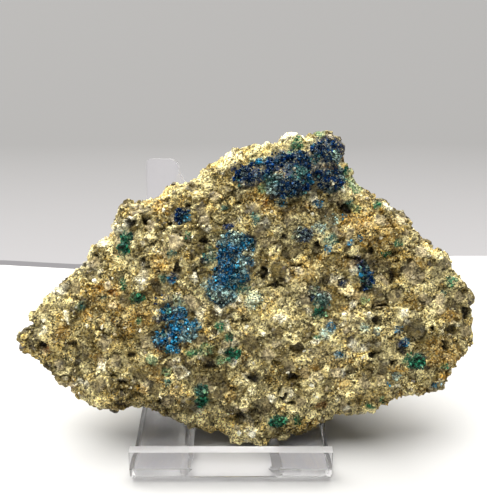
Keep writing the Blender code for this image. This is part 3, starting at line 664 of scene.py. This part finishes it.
def stained(tints, points, facing, keep=0.0):
    """Tints changed by the face's spots, but for a share to keep, and the lift that the spots give."""
    tints = tints.copy()
    lift = np.zeros(len(tints))
    x, y = seen_at(points)
    x = x + SPOT_FRAY * fractal_at(points, FRAY_SIZE, 9.0)
    y = y + SPOT_FRAY * fractal_at(points, FRAY_SIZE, 29.0)
    wobble = noise_at(points, WOBBLE_SIZE, 70.0) * WOBBLE
    for kind, (colour, strength, rise, grit, _) in SPOTS.items():
        share = spot_share(x, y, kind, wobble) * facing
        mix = (share * strength * (1 - keep))[:, None]
        tints = tints * (1 - mix) + np.array((*colour, grit)) * mix
        lift += share * rise * MM
    return tints, lift


def towards_viewer(normals):
    """1 where the surface is on the face, falling to 0 past its rim."""
    return np.clip((normals @ FACE_OUT) * RIM_EDGE + RIM_REACH, 0, 1)


def near_crusts(points, reach):
    """1 where a crust's surface is, falling to 0 at reach from it."""
    covered = np.zeros(len(points))
    for name in CRUSTS:
        tree = tree_of(cad_bmesh(name))
        low, high = (np.array(corner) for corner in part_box(name))
        close = np.flatnonzero(np.all((points > low - reach) & (points < high + reach), axis=1))
        for index in close:
            distance = tree.find_nearest(Vector(points[index]))[3]
            covered[index] = max(covered[index], 1 - distance / reach)
    return covered


# ---- the stone's skin ----

SKIN_VOXEL = 0.82 * MM
# How far the skin first swells over a crust, and then sinks under it, in mm.
CRUST_SWELL, CRUST_SINK = 0.42, 0.9
CRUST_REACH = 1.2 * MM
LARGE_GRAINS, SMALL_GRAINS = 3000, 12000
GRAINS_ON_FACE = 0.54
GRAIN_WARP, GRAIN_WARP_SIZE = 0.3 * MM, 1.3 * MM
# Of the grains: how unlike their sizes are, how far they stand out or in, how much they tilt, and the width
# and the depth of the crevices between them. All but the tilt are in mm.
LARGE_SPREAD, SMALL_SPREAD = 1.3, 0.4
LARGE_STEP, SMALL_STEP = 0.5, 0.3
LARGE_TILT, SMALL_TILT = 0.16, 0.2
LARGE_CREVICE, SMALL_CREVICE = 0.30, 0.15
LARGE_DEPTH, SMALL_DEPTH = 0.5, 0.25
SWELL_SIZE, SWELL_HEIGHT = 3.5 * MM, 0.4
STAIN_SIZE = 9 * MM
STAIN = (1.0, 0.82, 0.42, 1.0)  # what the warm stain does to a tint
QUARTZ_TURN = 2.4  # from one large quartz grain to the next
QUARTZ_CORNERS = 4  # 2 is an oval, and more is closer to a box


def refined_face(mesh):
    """Smooths the skin, and divides it once more where it faces the viewer."""
    bm = bmesh_of(mesh)
    bm.normal_update()
    out = Vector(FACE_OUT)
    chosen = {edge for face in bm.faces if face.normal.dot(out) > ON_FACE for edge in face.edges}
    axes = dict.fromkeys(("use_axis_x", "use_axis_y", "use_axis_z"), True)
    bmesh.ops.smooth_vert(bm, verts=bm.verts, factor=0.5, **axes)
    bmesh.ops.subdivide_edges(bm, edges=list(chosen), cuts=1, use_grid_fill=True)
    bmesh.ops.triangulate(bm, faces=[face for face in bm.faces if len(face.verts) > 4])
    bm.to_mesh(mesh)
    bm.free()


def grain_fields(points, normals, count, spread):
    """Grains all over the skin: each point's grain, how far its edge is and how high its slope is."""
    chosen = random_places(normals, count, GRAINS_ON_FACE)
    seeds, radii = points[chosen], rng.uniform(0, spread, count) ** 1.3 * MM
    warp = np.stack([noise_at(points, GRAIN_WARP_SIZE, shift) for shift in (3.1, 17.7, 41.3)], 1)
    owner, edge, _ = cell_fields(points + warp * GRAIN_WARP, seeds, radii)
    tilts = rng.normal(size=(count, 3))[owner]
    return owner, edge, np.einsum("ij,ij->i", tilts, points - seeds[owner])


def packed_grains(points, normals):
    """The tints and the height of large grains with small ones on them, and crevices between, where the
    tints are darkened as painted shade.
    """
    grain, grain_edge, grain_slope = grain_fields(points, normals, LARGE_GRAINS, LARGE_SPREAD)
    crumb, crumb_edge, crumb_slope = grain_fields(points, normals, SMALL_GRAINS, SMALL_SPREAD)
    tints = picked(LARGE_COLOURS, LARGE_GRAINS)[grain]
    own = picked(SMALL_COLOURS, SMALL_GRAINS)[crumb]
    blend = (rng.random(SMALL_GRAINS) ** 2.2)[crumb] * (0.25 + 0.75 * tints[:, 3])
    tints = tints * (1 - blend[:, None]) + own * blend[:, None]
    broken = 0.2 + 0.8 * tints[:, 3]
    crevice = np.exp(-((grain_edge / (LARGE_CREVICE * MM)) ** 1.5))
    small_crevice = np.exp(-((crumb_edge / (SMALL_CREVICE * MM)) ** 1.5)) * broken
    height = rng.uniform(-LARGE_STEP, LARGE_STEP, LARGE_GRAINS)[grain] * MM + LARGE_TILT * grain_slope
    height -= crevice * LARGE_DEPTH * MM
    small = rng.uniform(-SMALL_STEP, SMALL_STEP, SMALL_GRAINS)[crumb] * MM + SMALL_TILT * crumb_slope
    height += small * broken - small_crevice * SMALL_DEPTH * MM
    height += fractal_at(points, SWELL_SIZE, 5.0) * SWELL_HEIGHT * MM
    powder = np.clip(noise_at(points, 3 * MM, 88.0) * 4, 0, 1) * crevice
    tints += (np.array((*CREAM, 1.0)) * 0.9 - tints) * powder[:, None] * 0.8
    # Painted shade: the tints are darkened in the crevices, less where cream powder fills them.
    return shaded(tints, (1 - 0.6 * crevice * (1 - powder)) * (1 - 0.4 * small_crevice)), height


def quartz_away(x, y, index):
    """How far pixels are from a large quartz grain's middle: 1 at its edge, a box with round corners."""
    cx, cy, rx, ry, _ = QUARTZ[index]
    turn = index * QUARTZ_TURN
    across, up = x - cx, y - cy
    along = (across * math.cos(turn) + up * math.sin(turn)) / rx
    aside = (up * math.cos(turn) - across * math.sin(turn)) / ry
    return (abs(along) ** QUARTZ_CORNERS + abs(aside) ** QUARTZ_CORNERS) ** (1 / QUARTZ_CORNERS)


def round_quartz(tints, points, facing):
    """The smooth tops of the large quartz grains, with clefts at their edges darkened as painted shade, or
    cream powder there.

    Also gives how far the ground dips there, and how smooth it is."""
    x, y = seen_at(points)
    x = x + QUARTZ_FRAY * noise_at(points, FRAY_SIZE, 9.0)
    y = y + QUARTZ_FRAY * noise_at(points, FRAY_SIZE, 29.0)
    edge, inside, pale = np.zeros((3, len(x)))
    for index, grain in enumerate(QUARTZ):
        away = quartz_away(x, y, index)
        edge = np.maximum(edge, np.exp(-(((away - 1.08) / 0.1) ** 2)))
        here = np.clip((1.05 - away) * 6, 0, 1)
        pale = np.where(here > inside, grain[4], pale)
        inside = np.maximum(inside, here)
    edge, inside, pale = edge * facing, inside * facing, pale[:, None]
    cracked = np.clip(noise_at(points, 2 * MM, 17.0) * 5 + 0.4, 0, 1)
    smooth = np.array((*OLIVE, 0.1)) * 0.62 * (1 - pale) + np.array((*GREY, 0.25)) * pale
    smooth = shaded(smooth, np.clip(1 + 1.5 * fractal_at(points, 2.2 * MM, 51.0), 0.25, 2.2))
    tints = tints + (smooth - tints) * inside[:, None] * 0.9
    tints = tints + (np.array((*CREAM, 0.8)) - tints) * (edge * (1 - cracked))[:, None] * 0.6
    # Painted shade: the clefts are darkened, and they also dip.
    cleft = edge * cracked
    return shaded(tints, 1 - 0.75 * cleft), cleft * 0.4 * MM + inside * 0.2 * MM, inside


def build_skin():
    """The stone's surface as one closed skin with its relief and tint, and where crusts cover it."""
    sources = [cad_bmesh("sandstone_matrix")] + [cad_bmesh(name, CRUST_SWELL * MM) for name in CRUSTS]
    mesh = remeshed("stone_body", sources, SKIN_VOXEL)
    refined_face(mesh)
    points, normals = arrays(mesh)
    tints, height = packed_grains(points, normals)
    facing = towards_viewer(normals)
    tints, lift = stained(tints, points, facing)
    stain = np.clip(fractal_at(points, STAIN_SIZE, 60.0) * 1.5 - 0.1, 0, 0.6)[:, None]
    tints = tints * (1 - stain) + tints * np.array(STAIN) * stain
    tints, dip, smooth = round_quartz(tints, points, facing)
    near = near_crusts(points, CRUST_REACH)
    covered = np.clip(near * 2, 0, 1)
    # Painted shade: the skin under the crusts and at their foot is tinted near black navy, which shows
    # between their crystals.
    tints += (np.array((*UNDER_CRUST_SHADE, 0.3)) - tints) * np.clip((near - 0.5) * 8, 0, 1)[:, None] * 0.9
    height = (height * (1 - 0.85 * smooth) + lift - dip) * (1 - covered) - CRUST_SINK * MM * covered
    put_points(mesh, kept_clear(points + normals * height[:, None]))
    put_tint(mesh, tints)
    return mesh, covered


# ---- grains on the stone ----

SHARD_KINDS = 24
SHARDS_PER_QUARTZ = 5


def lone_grains(heap, shapes, trees):
    """The single pale grains, each on whatever is nearest to the viewer there."""
    for x, y, half in LONE_GRAINS:
        found = [hit for hit in (surface_at(tree, x, y) for tree in trees) if hit]
        if found:
            place, normal, pixel = min(found, key=lambda hit: hit[2])
            tint = np.array((*IVORY, 0.3)) * rng.uniform(0.85, 1.0)
            heap.add(one_of(shapes), place, normal, half * pixel, tint, 0.3, 0.8)


def large_quartz(heap, shapes, tree):
    """Each large quartz grain as a few shards sunk into the face. Gives the pixels that they take up."""
    taken = []
    for x, y, rx, ry, pale in QUARTZ:
        found = surface_at(tree, x, y)
        if not found:
            continue
        place, normal, pixel = found
        size = math.sqrt(rx * ry) * pixel
        tint = np.array((*OLIVE, 0.15)) * 0.65 * (1 - pale) + np.array((*GREY, 0.15)) * pale
        for _ in range(SHARDS_PER_QUARTZ):
            aside = rng.normal(size=3) * size * 0.35
            aside -= FACE_OUT * (aside @ FACE_OUT)
            middle = place + aside - FACE_OUT * size * 0.26
            heap.add(one_of(shapes), middle, normal * 0.4 + FACE_OUT, size * rng.uniform(0.45, 0.7), tint,
                     0.35, 0.6, 0.45)
        taken.append((x, y, max(rx, ry)))
    return taken


def grain_heaps(mesh, covered):
    """Quartz, feldspar and crumbs, sunk into the skin all over, with the face's large quartz grains."""
    points, normals = arrays(mesh)
    tree = tree_of(bmesh_of(mesh))
    forms = ((22, 0.35), (11, 0.4), (7, 0.4))
    large, small, tiny = ([shard_shape(*form) for _ in range(SHARD_KINDS)] for form in forms)
    quartz, feldspar, crumbs = Heap(), Heap(), Heap()
    taken = large_quartz(quartz, large, tree)
    lone_grains(feldspar, small, [tree, tree_of(bmesh_of(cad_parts["azurite_crest_crust"].data))])
    free = covered < 0.3
    # Each heap, how many grains it gets, the share of them on the face, their radii in mm, their forms and
    # colours, how deep they sink, in radii, and how much of their own colour they keep in a spot.
    plans = (
        (quartz, 600, 0.5, (0.75, 1.8), large, QUARTZ_COLOURS, 0.45, 0.75),
        (feldspar, 1300, 0.58, (0.35, 0.95), small, CHALK_COLOURS, 0.3, 0.35),
        (crumbs, 9000, 0.72, (0.14, 0.32), tiny, SMALL_COLOURS, 0.1, 0.1),
    )
    for heap, count, front_share, (least, most), shapes, choices, sink, keep in plans:
        chosen = random_places(normals, count, front_share)
        chosen = chosen[free[chosen]]
        places, out = points[chosen], normals[chosen]
        x, y = seen_at(places)
        facing = towards_viewer(out)
        clear = spot_share(x, y, "pit", 0) * facing < 0.3
        for quartz_x, quartz_y, reach in taken:
            clear &= ~((np.hypot(x - quartz_x, y - quartz_y) < reach * 1.05) & (facing > 0))
        tints, _ = stained(picked(choices, len(chosen)), places, facing, keep)
        sizes = (least + (most - least) * rng.random(len(chosen)) ** 1.8) * MM
        for index in np.flatnonzero(clear):
            place = places[index] - out[index] * sizes[index] * sink
            heap.add(one_of(shapes), place, out[index], sizes[index], tints[index], 0.5, 0.85)
    return quartz, feldspar, crumbs


# ---- azurite and malachite ----

BLUES = (
    (NAVY, 0.42, 0.5), (COBALT, 0.12, 0.8), (TEAL, 0.28, 0.9), (PALE_BLUE, 0.17, 1.0), (DARK, 0.01, 0.2),
)
BRIGHT_BLUES = ((COBALT, 0.50, 0.9), (NAVY, 0.10, 0.7), (PALE_BLUE, 0.26, 1.0), (TEAL, 0.14, 1.0))
GREENS = ((EMERALD, 0.56, 0.6), (TEAL, 0.26, 0.8), (PALE_GREEN, 0.12, 1.0), (DARK, 0.06, 0.2))

# By how a crust's name starts: its colours, the sizes of its voxels, clumps and crystals in mm, and how
# many single crystals stand up from it.
CRUST_PLANS = {
    "azurite_crest": (BLUES, 0.27, 2.3, 0.8, 700),
    ("azurite_centre", "azurite_left"): (BRIGHT_BLUES, 0.22, 1.8, 0.65, 350),
    "azurite": (BLUES, 0.2, 1.5, 0.65, 60),
    "malachite": (GREENS, 0.2, 1.5, 0.6, 60),
}
CRUST_GROW = 0.05 * MM
# How far clumps and crystals stand out, over their size, and how unlike they are in lightness.
CLUMP_RELIEF, CRYSTAL_RELIEF = (0.22, 0.25), (0.30, 0.35)
CRYSTAL_TILT = 0.22
CRYSTALS_PER_VOXEL = 1.4  # seeds for each square of their size on the skin
CRYSTAL_KINDS, GRAIN_KINDS = 16, 20
GRAINS_PER_PIXEL = 0.16
SPRINKLED = 1.1  # how far crystals are sprinkled about a spot, in its radii


def fused_crystals(points, choices, voxel, clump, crystal):
    """The height, the tints and the shade of a crust's clumps with crystals on them. The shade is a
    lightness that differs at random, darkened in the crevices between them as painted shade.
    """
    height = np.zeros(len(points))
    shade = np.ones(len(points))
    for size, (relief, contrast) in ((clump, CLUMP_RELIEF), (crystal, CRYSTAL_RELIEF)):
        count = max(10, int(len(points) * (voxel / size) ** 2 * CRYSTALS_PER_VOXEL))
        seeds = points[rng.choice(len(points), count)]
        owner, edge, middle = cell_fields(points, seeds, rng.uniform(0, 0.25, count) * size)
        if size == clump:
            tints = picked(choices, count)[owner]
        crevice = np.exp(-((edge / (0.16 * size)) ** 1.4))
        tilts = rng.normal(size=(count, 3))[owner] * CRYSTAL_TILT
        height += rng.uniform(-0.5, 0.6, count)[owner] * size * relief - crevice * relief * size
        height += np.einsum("ij,ij->i", tilts, points - seeds[owner]) - middle * relief * 0.6
        # Painted shade in the crevices, times a lightness that differs at random.
        shade *= (1 - 0.7 * crevice) * rng.uniform(1 - contrast, 1 + contrast, count)[owner]
    return height, tints, shade


def crust_piece(name, material, slot):
    """A crust in the place of a CAD node: clumps of fused crystals, with single ones on them."""
    plan = next(plan for start, plan in CRUST_PLANS.items() if name.startswith(start))
    choices, singles = plan[0], plan[-1]
    voxel, clump, crystal = (size * MM for size in plan[1:4])
    mesh = remeshed(name + "_crystals", [cad_bmesh(name, CRUST_GROW)], voxel)
    points, normals = arrays(mesh)
    height, tints, shade = fused_crystals(points, choices, voxel, clump, crystal)
    tints = shaded(stained(tints, points, towards_viewer(normals), 0.1)[0], shade)
    put_points(mesh, kept_clear(points + normals * height[:, None]))
    put_tint(mesh, tints)

    heap = Heap()
    shapes = [crystal_shape() for _ in range(CRYSTAL_KINDS)]
    outward = np.flatnonzero((normals @ FACE_OUT > -0.1) & (height > -0.1 * MM))
    for index in rng.choice(outward, singles):
        size = rng.uniform(0.3, 0.75) * crystal
        shape, place = one_of(shapes), points[index] + normals[index] * height[index]
        # The singles are lighter or darker at random, up to 2.3 times lighter; the lightest are painted
        # sparkle, a painted highlight.
        heap.add(shape, place, normals[index], size, shaded(tints[index], rng.uniform(0.7, 2.3)), 0.5)
    extra = heap.mesh(name + "_singles")
    bm = bmesh_of(mesh, extra)
    bm.to_mesh(mesh)
    bm.free()
    bpy.data.meshes.remove(extra)
    finish_piece(mesh, material, slot, name)


def scattered_crystals(mesh, kinds, sizes):
    """Small crystals sprinkled over the skin where the face's spots are."""
    tree = tree_of(bmesh_of(mesh))
    shapes = [crystal_shape() for _ in range(GRAIN_KINDS)]
    heap = Heap()
    for kind in kinds:
        colour, _, _, _, spots = SPOTS[kind]
        for cx, cy, rx, ry in spots:
            for _ in range(int(rx * ry * GRAINS_PER_PIXEL) + 2):
                turn, reach = rng.uniform(0, math.tau), math.sqrt(rng.random()) * SPRINKLED
                x = cx + rx * reach * math.cos(turn)
                y = cy + ry * reach * math.sin(turn)
                found = surface_at(tree, x, y)
                if not found:
                    continue
                place, normal, _ = found
                size = rng.uniform(*sizes) * MM
                tint = shaded(np.array((*colour, 0.5)), rng.uniform(0.6, 1.6))
                heap.add(one_of(shapes), place + normal * size * 0.1, normal, size, tint, 0.6)
    return heap


# ---- the easel ----

ACRYLIC = (0.93, 0.925, 0.945, 1)
POLISHED, SAWN, UNDERSIDE = 0, 1, 2  # its materials, in order


def acrylic(name, roughness=None, clearness=1.0):
    """Clear acrylic, polished and faintly worn, or with a roughness that is the same all over."""
    material, tree = new_material(name)
    if roughness is None:
        place = place_in(tree)
        wear = node(tree, "ShaderNodeTexNoise", Vector=place, Scale=180.0, Detail=6.0, Roughness=0.7)
        roughness = ranged(tree, wear.outputs["Fac"], 0.015, 0.09, 0.45, 0.8)
    finish_shader(tree, Base_Color=ACRYLIC, Roughness=roughness, Transmission_Weight=clearness, IOR=1.49)
    return material


def build_easel():
    """The CAD sheet with rounded edges, and with sawn faces and an underside that are a little matt."""
    bm = cad_bmesh("acrylic_easel")
    tree = BVHTree.FromBMesh(bm)
    kinds = []
    for face in bm.faces:
        middle = face.calc_center_median()
        distance = tree.ray_cast(middle - face.normal * 0.05 * MM, -face.normal)[3] or 1.0
        under = face.normal.z < -0.9 and middle.z < 0.2 * MM
        sawn = distance > 1.25 * SHEET or abs(face.normal.x) > 0.5
        kinds.append(SAWN if sawn else UNDERSIDE if under else POLISHED)
        face.smooth = True
    mesh = bpy.data.meshes.new("easel_sheet")
    bm.to_mesh(mesh)
    bm.free()
    piece = finish_piece(mesh, acrylic("clear_acrylic"), "acrylic", "acrylic_easel")
    mesh.materials.append(acrylic("sawn_acrylic_edge", 0.35, 0.8))
    mesh.materials.append(acrylic("scuffed_underside", 0.3, 0.9))
    mesh.polygons.foreach_set("material_index", kinds)
    mesh.set_sharp_from_angle(angle=math.radians(32))
    bevel = piece.modifiers.new("polished_edges", "BEVEL")
    settle(bevel, width=0.25 * MM, segments=2, limit_method="ANGLE", angle_limit=math.radians(40),
           harden_normals=True, material=SAWN)


# ---- the table and the backdrop ----

BOARD_TOP = -0.05 * MM
BOARD_THICK = 6 * MM
BOARD_HALF_WIDTH = 1.6
BOARD_WHITES = ((0.53, 0.53, 0.53), (0.54, 0.54, 0.54))
# The white board's back edge and the far side of the painted fold shadow behind it, as pixels from right to
# left.
BOARD_EDGE = ((480, 256), (455, 256), (250, 268), (75, 269), (40, 267), (20, 266), (4, 265))
FOLD_SHADOW_EDGE = ((455, 255.8), (250, 263), (75, 263.6), (60, 262.8), (40, 261.8), (20, 260.6), (4, 259.8))
FOLD_SHADOW_SINK = 0.2 * MM
# Painted shadow: the dark grey of the strip at the board's back edge.
FOLD_SHADOW_GREY = (0.135, 0.132, 0.140)
NEAR_EDGE = -1.8
GREY_REACH = 3.0
# The grey sheet's near and far colours; the far one is darker, as painted shade.
GREYS = ((0.280, 0.275, 0.284), (0.172, 0.171, 0.172))
FADE_START, FADE_END = 0.1, 0.3  # how far behind the object a sheet's colour starts and stops changing


def sheet_look(name, roughness, near, far=None):
    """A plain sheet of one colour, or with a colour near the object and one far behind it."""
    material, tree = new_material(name)
    colour = (*near, 1)
    if far:
        place = place_in(tree)
        apart = node(tree, "ShaderNodeSeparateXYZ", Vector=place)
        soft = node(tree, "ShaderNodeTexNoise", Vector=place, Scale=9.0, Detail=3.0)
        behind = calc(tree, "MULTIPLY_ADD", soft.outputs["Fac"], 0.02, apart.outputs["Y"])
        # Past the object the colour turns to the far one; on the grey sheet that is a darker grey, painted
        # shade.
        colour = mixed(tree, ranged(tree, behind, 0, 1, FADE_START, FADE_END), near, far)
    finish_shader(tree, Base_Color=colour, Roughness=roughness, Specular_IOR_Level=0.2)
    return material


def floor_at(x, y):
    """Where a pixel shows the table."""
    line = line_through(x, y)
    return tuple((EYE + line * (BOARD_TOP - EYE[2]) / line[2])[:2])


def slab(name, outline, top, look):
    """A flat slab with an outline given anticlockwise."""
    count = len(outline)
    points = [(x, y, top - BOARD_THICK) for x, y in outline] + [(x, y, top) for x, y in outline]
    sides = [(i, (i + 1) % count, (i + 1) % count + count, i + count) for i in range(count)]
    caps = [tuple(reversed(range(count))), tuple(range(count, 2 * count))]
    obj = new_object(name, mesh_from(name, points, caps + sides))
    obj.data.materials.append(look)


def build_stage():
    """A white board, a dark strip behind it as the fold's painted shadow, and a grey sheet that runs on."""
    white = sheet_look("white_board", 0.6, *BOARD_WHITES)
    grey = sheet_look("grey_sheet", 0.8, *GREYS)
    shady = sheet_look("fold_shadow", 0.8, FOLD_SHADOW_GREY)
    east, west, reach = BOARD_HALF_WIDTH, -BOARD_HALF_WIDTH, GREY_REACH
    edge = [floor_at(x, y) for x, y in BOARD_EDGE]
    edge = [(east, edge[0][1]), *edge, (west, edge[-1][1])]
    fold_shadow = [floor_at(x, y) for x, y in FOLD_SHADOW_EDGE]
    fold_shadow = [*fold_shadow, (west, fold_shadow[-1][1])]
    square = [(-reach, -reach), (reach, -reach), (reach, reach), (-reach, reach)]
    slab("white_board", [(west, NEAR_EDGE), (east, NEAR_EDGE), *edge], BOARD_TOP, white)
    # A dark strip behind the board: the fold's painted shadow.
    slab("fold_shadow", [*reversed(edge[2:]), *fold_shadow], BOARD_TOP - FOLD_SHADOW_SINK, shady)
    slab("grey_sheet", square, BOARD_TOP - BOARD_THICK, grey)


# ---- the light and the camera ----

LIGHT_BOUNCES = 28  # a sheet of acrylic carries light a long way inside itself
TO_OVERHEAD = (-0.18, 0.27, 1)
PANEL_PLACE, PANEL_TARGET = Vector((-0.12, -0.55, 0.42)), Vector((0, 0, 0.04))


def add_light(name, kind, place, aim, axis, **settings):
    """A light at a place, with its own axis, such as -Z, turned to aim."""
    light = bpy.data.lights.new(name, kind)
    settle(light, **settings)
    turn = Vector(aim).to_track_quat(axis, "Y").to_euler()
    settle(new_object(name, light), location=place, rotation_euler=turn)


def build_light():
    world = bpy.data.worlds.new("studio")
    bpy.context.scene.world = world
    world.use_nodes = True
    background = world.node_tree.nodes["Background"]
    background.inputs["Color"].default_value = (0.95, 0.97, 1.0, 1)
    background.inputs["Strength"].default_value = 0.15
    add_light("overhead", "SUN", (0, 0, 0), TO_OVERHEAD, "Z",
              energy=8.2, color=(1.0, 0.985, 0.95), angle=math.radians(80))
    add_light("front_panel", "AREA", PANEL_PLACE, PANEL_TARGET - PANEL_PLACE, "-Z",
              energy=0.35, color=(1.0, 0.99, 0.97), shape="RECTANGLE", size=1.2, size_y=0.5)
    bpy.context.scene.view_settings.view_transform = "Standard"
    bounces = dict.fromkeys(("max_bounces", "transmission_bounces", "glossy_bounces"), LIGHT_BOUNCES)
    settle(bpy.context.scene.cycles, **bounces)


def build_camera():
    camera = bpy.data.cameras.new("camera")
    settle(camera, lens=FOCAL_PX / LONG_SIDE_PX * camera.sensor_width, clip_start=0.01)
    obj = new_object("camera", camera)
    settle(obj, location=EYE, rotation_euler=(math.pi / 2 - PITCH, 0, 0))
    bpy.context.scene.camera = obj


def main():
    build_camera()
    build_light()
    build_stage()
    ground = mineral("sandstone_ground", grain=0.38, speckle=0.95, rough=(0.5, 1.0), bump=0.26, dust=0.27,
                     shade_specks=0.27, shine=0.2)
    smoky = mineral("smoky_quartz", grain=0.7, speckle=1.0, rough=(0.2, 0.7), bump=0.16, dust=0.2,
                    shade_specks=0.35, shine=0.3, coat=0.15)
    chalky = mineral("feldspar", grain=0.38, speckle=0.55, rough=(0.5, 1.0), bump=0.20, dust=0.15,
                     shade_specks=0.14, shine=0.3, dust_colour=IVORY)
    blue = mineral("azurite", grain=0.32, speckle=1.0, rough=(0.1, 0.5), bump=0.16, dust=0.16,
                   shade_specks=0.1, shine=0.05, dust_colour=PALE_BLUE)
    green = mineral("malachite", grain=0.32, speckle=0.8, rough=(0.2, 0.6), bump=0.14, dust=0.08,
                    shade_specks=0.25, shine=0.15, dust_colour=PALE_GREEN)

    skin, covered = build_skin()
    finish_piece(skin, ground, "stone", "sandstone_matrix")
    quartz, feldspar, crumbs = grain_heaps(skin, covered)
    finish_piece(quartz.mesh("quartz_grains"), smoky, "stone")
    finish_piece(feldspar.mesh("feldspar_grains"), chalky, "stone")
    finish_piece(crumbs.mesh("stone_crumbs"), ground, "stone")
    for name in CRUSTS:
        if name.startswith("azurite"):
            crust_piece(name, blue, "azurite")
        else:
            crust_piece(name, green, "malachite")
    blues = scattered_crystals(skin, ("navy", "cobalt", "pale_blue"), (0.16, 0.42))
    greens = scattered_crystals(skin, ("teal", "emerald", "pale_green"), (0.16, 0.40))
    finish_piece(blues.mesh("azurite_grains"), blue, "azurite")
    finish_piece(greens.mesh("malachite_grains"), green, "malachite")
    build_easel()


main()
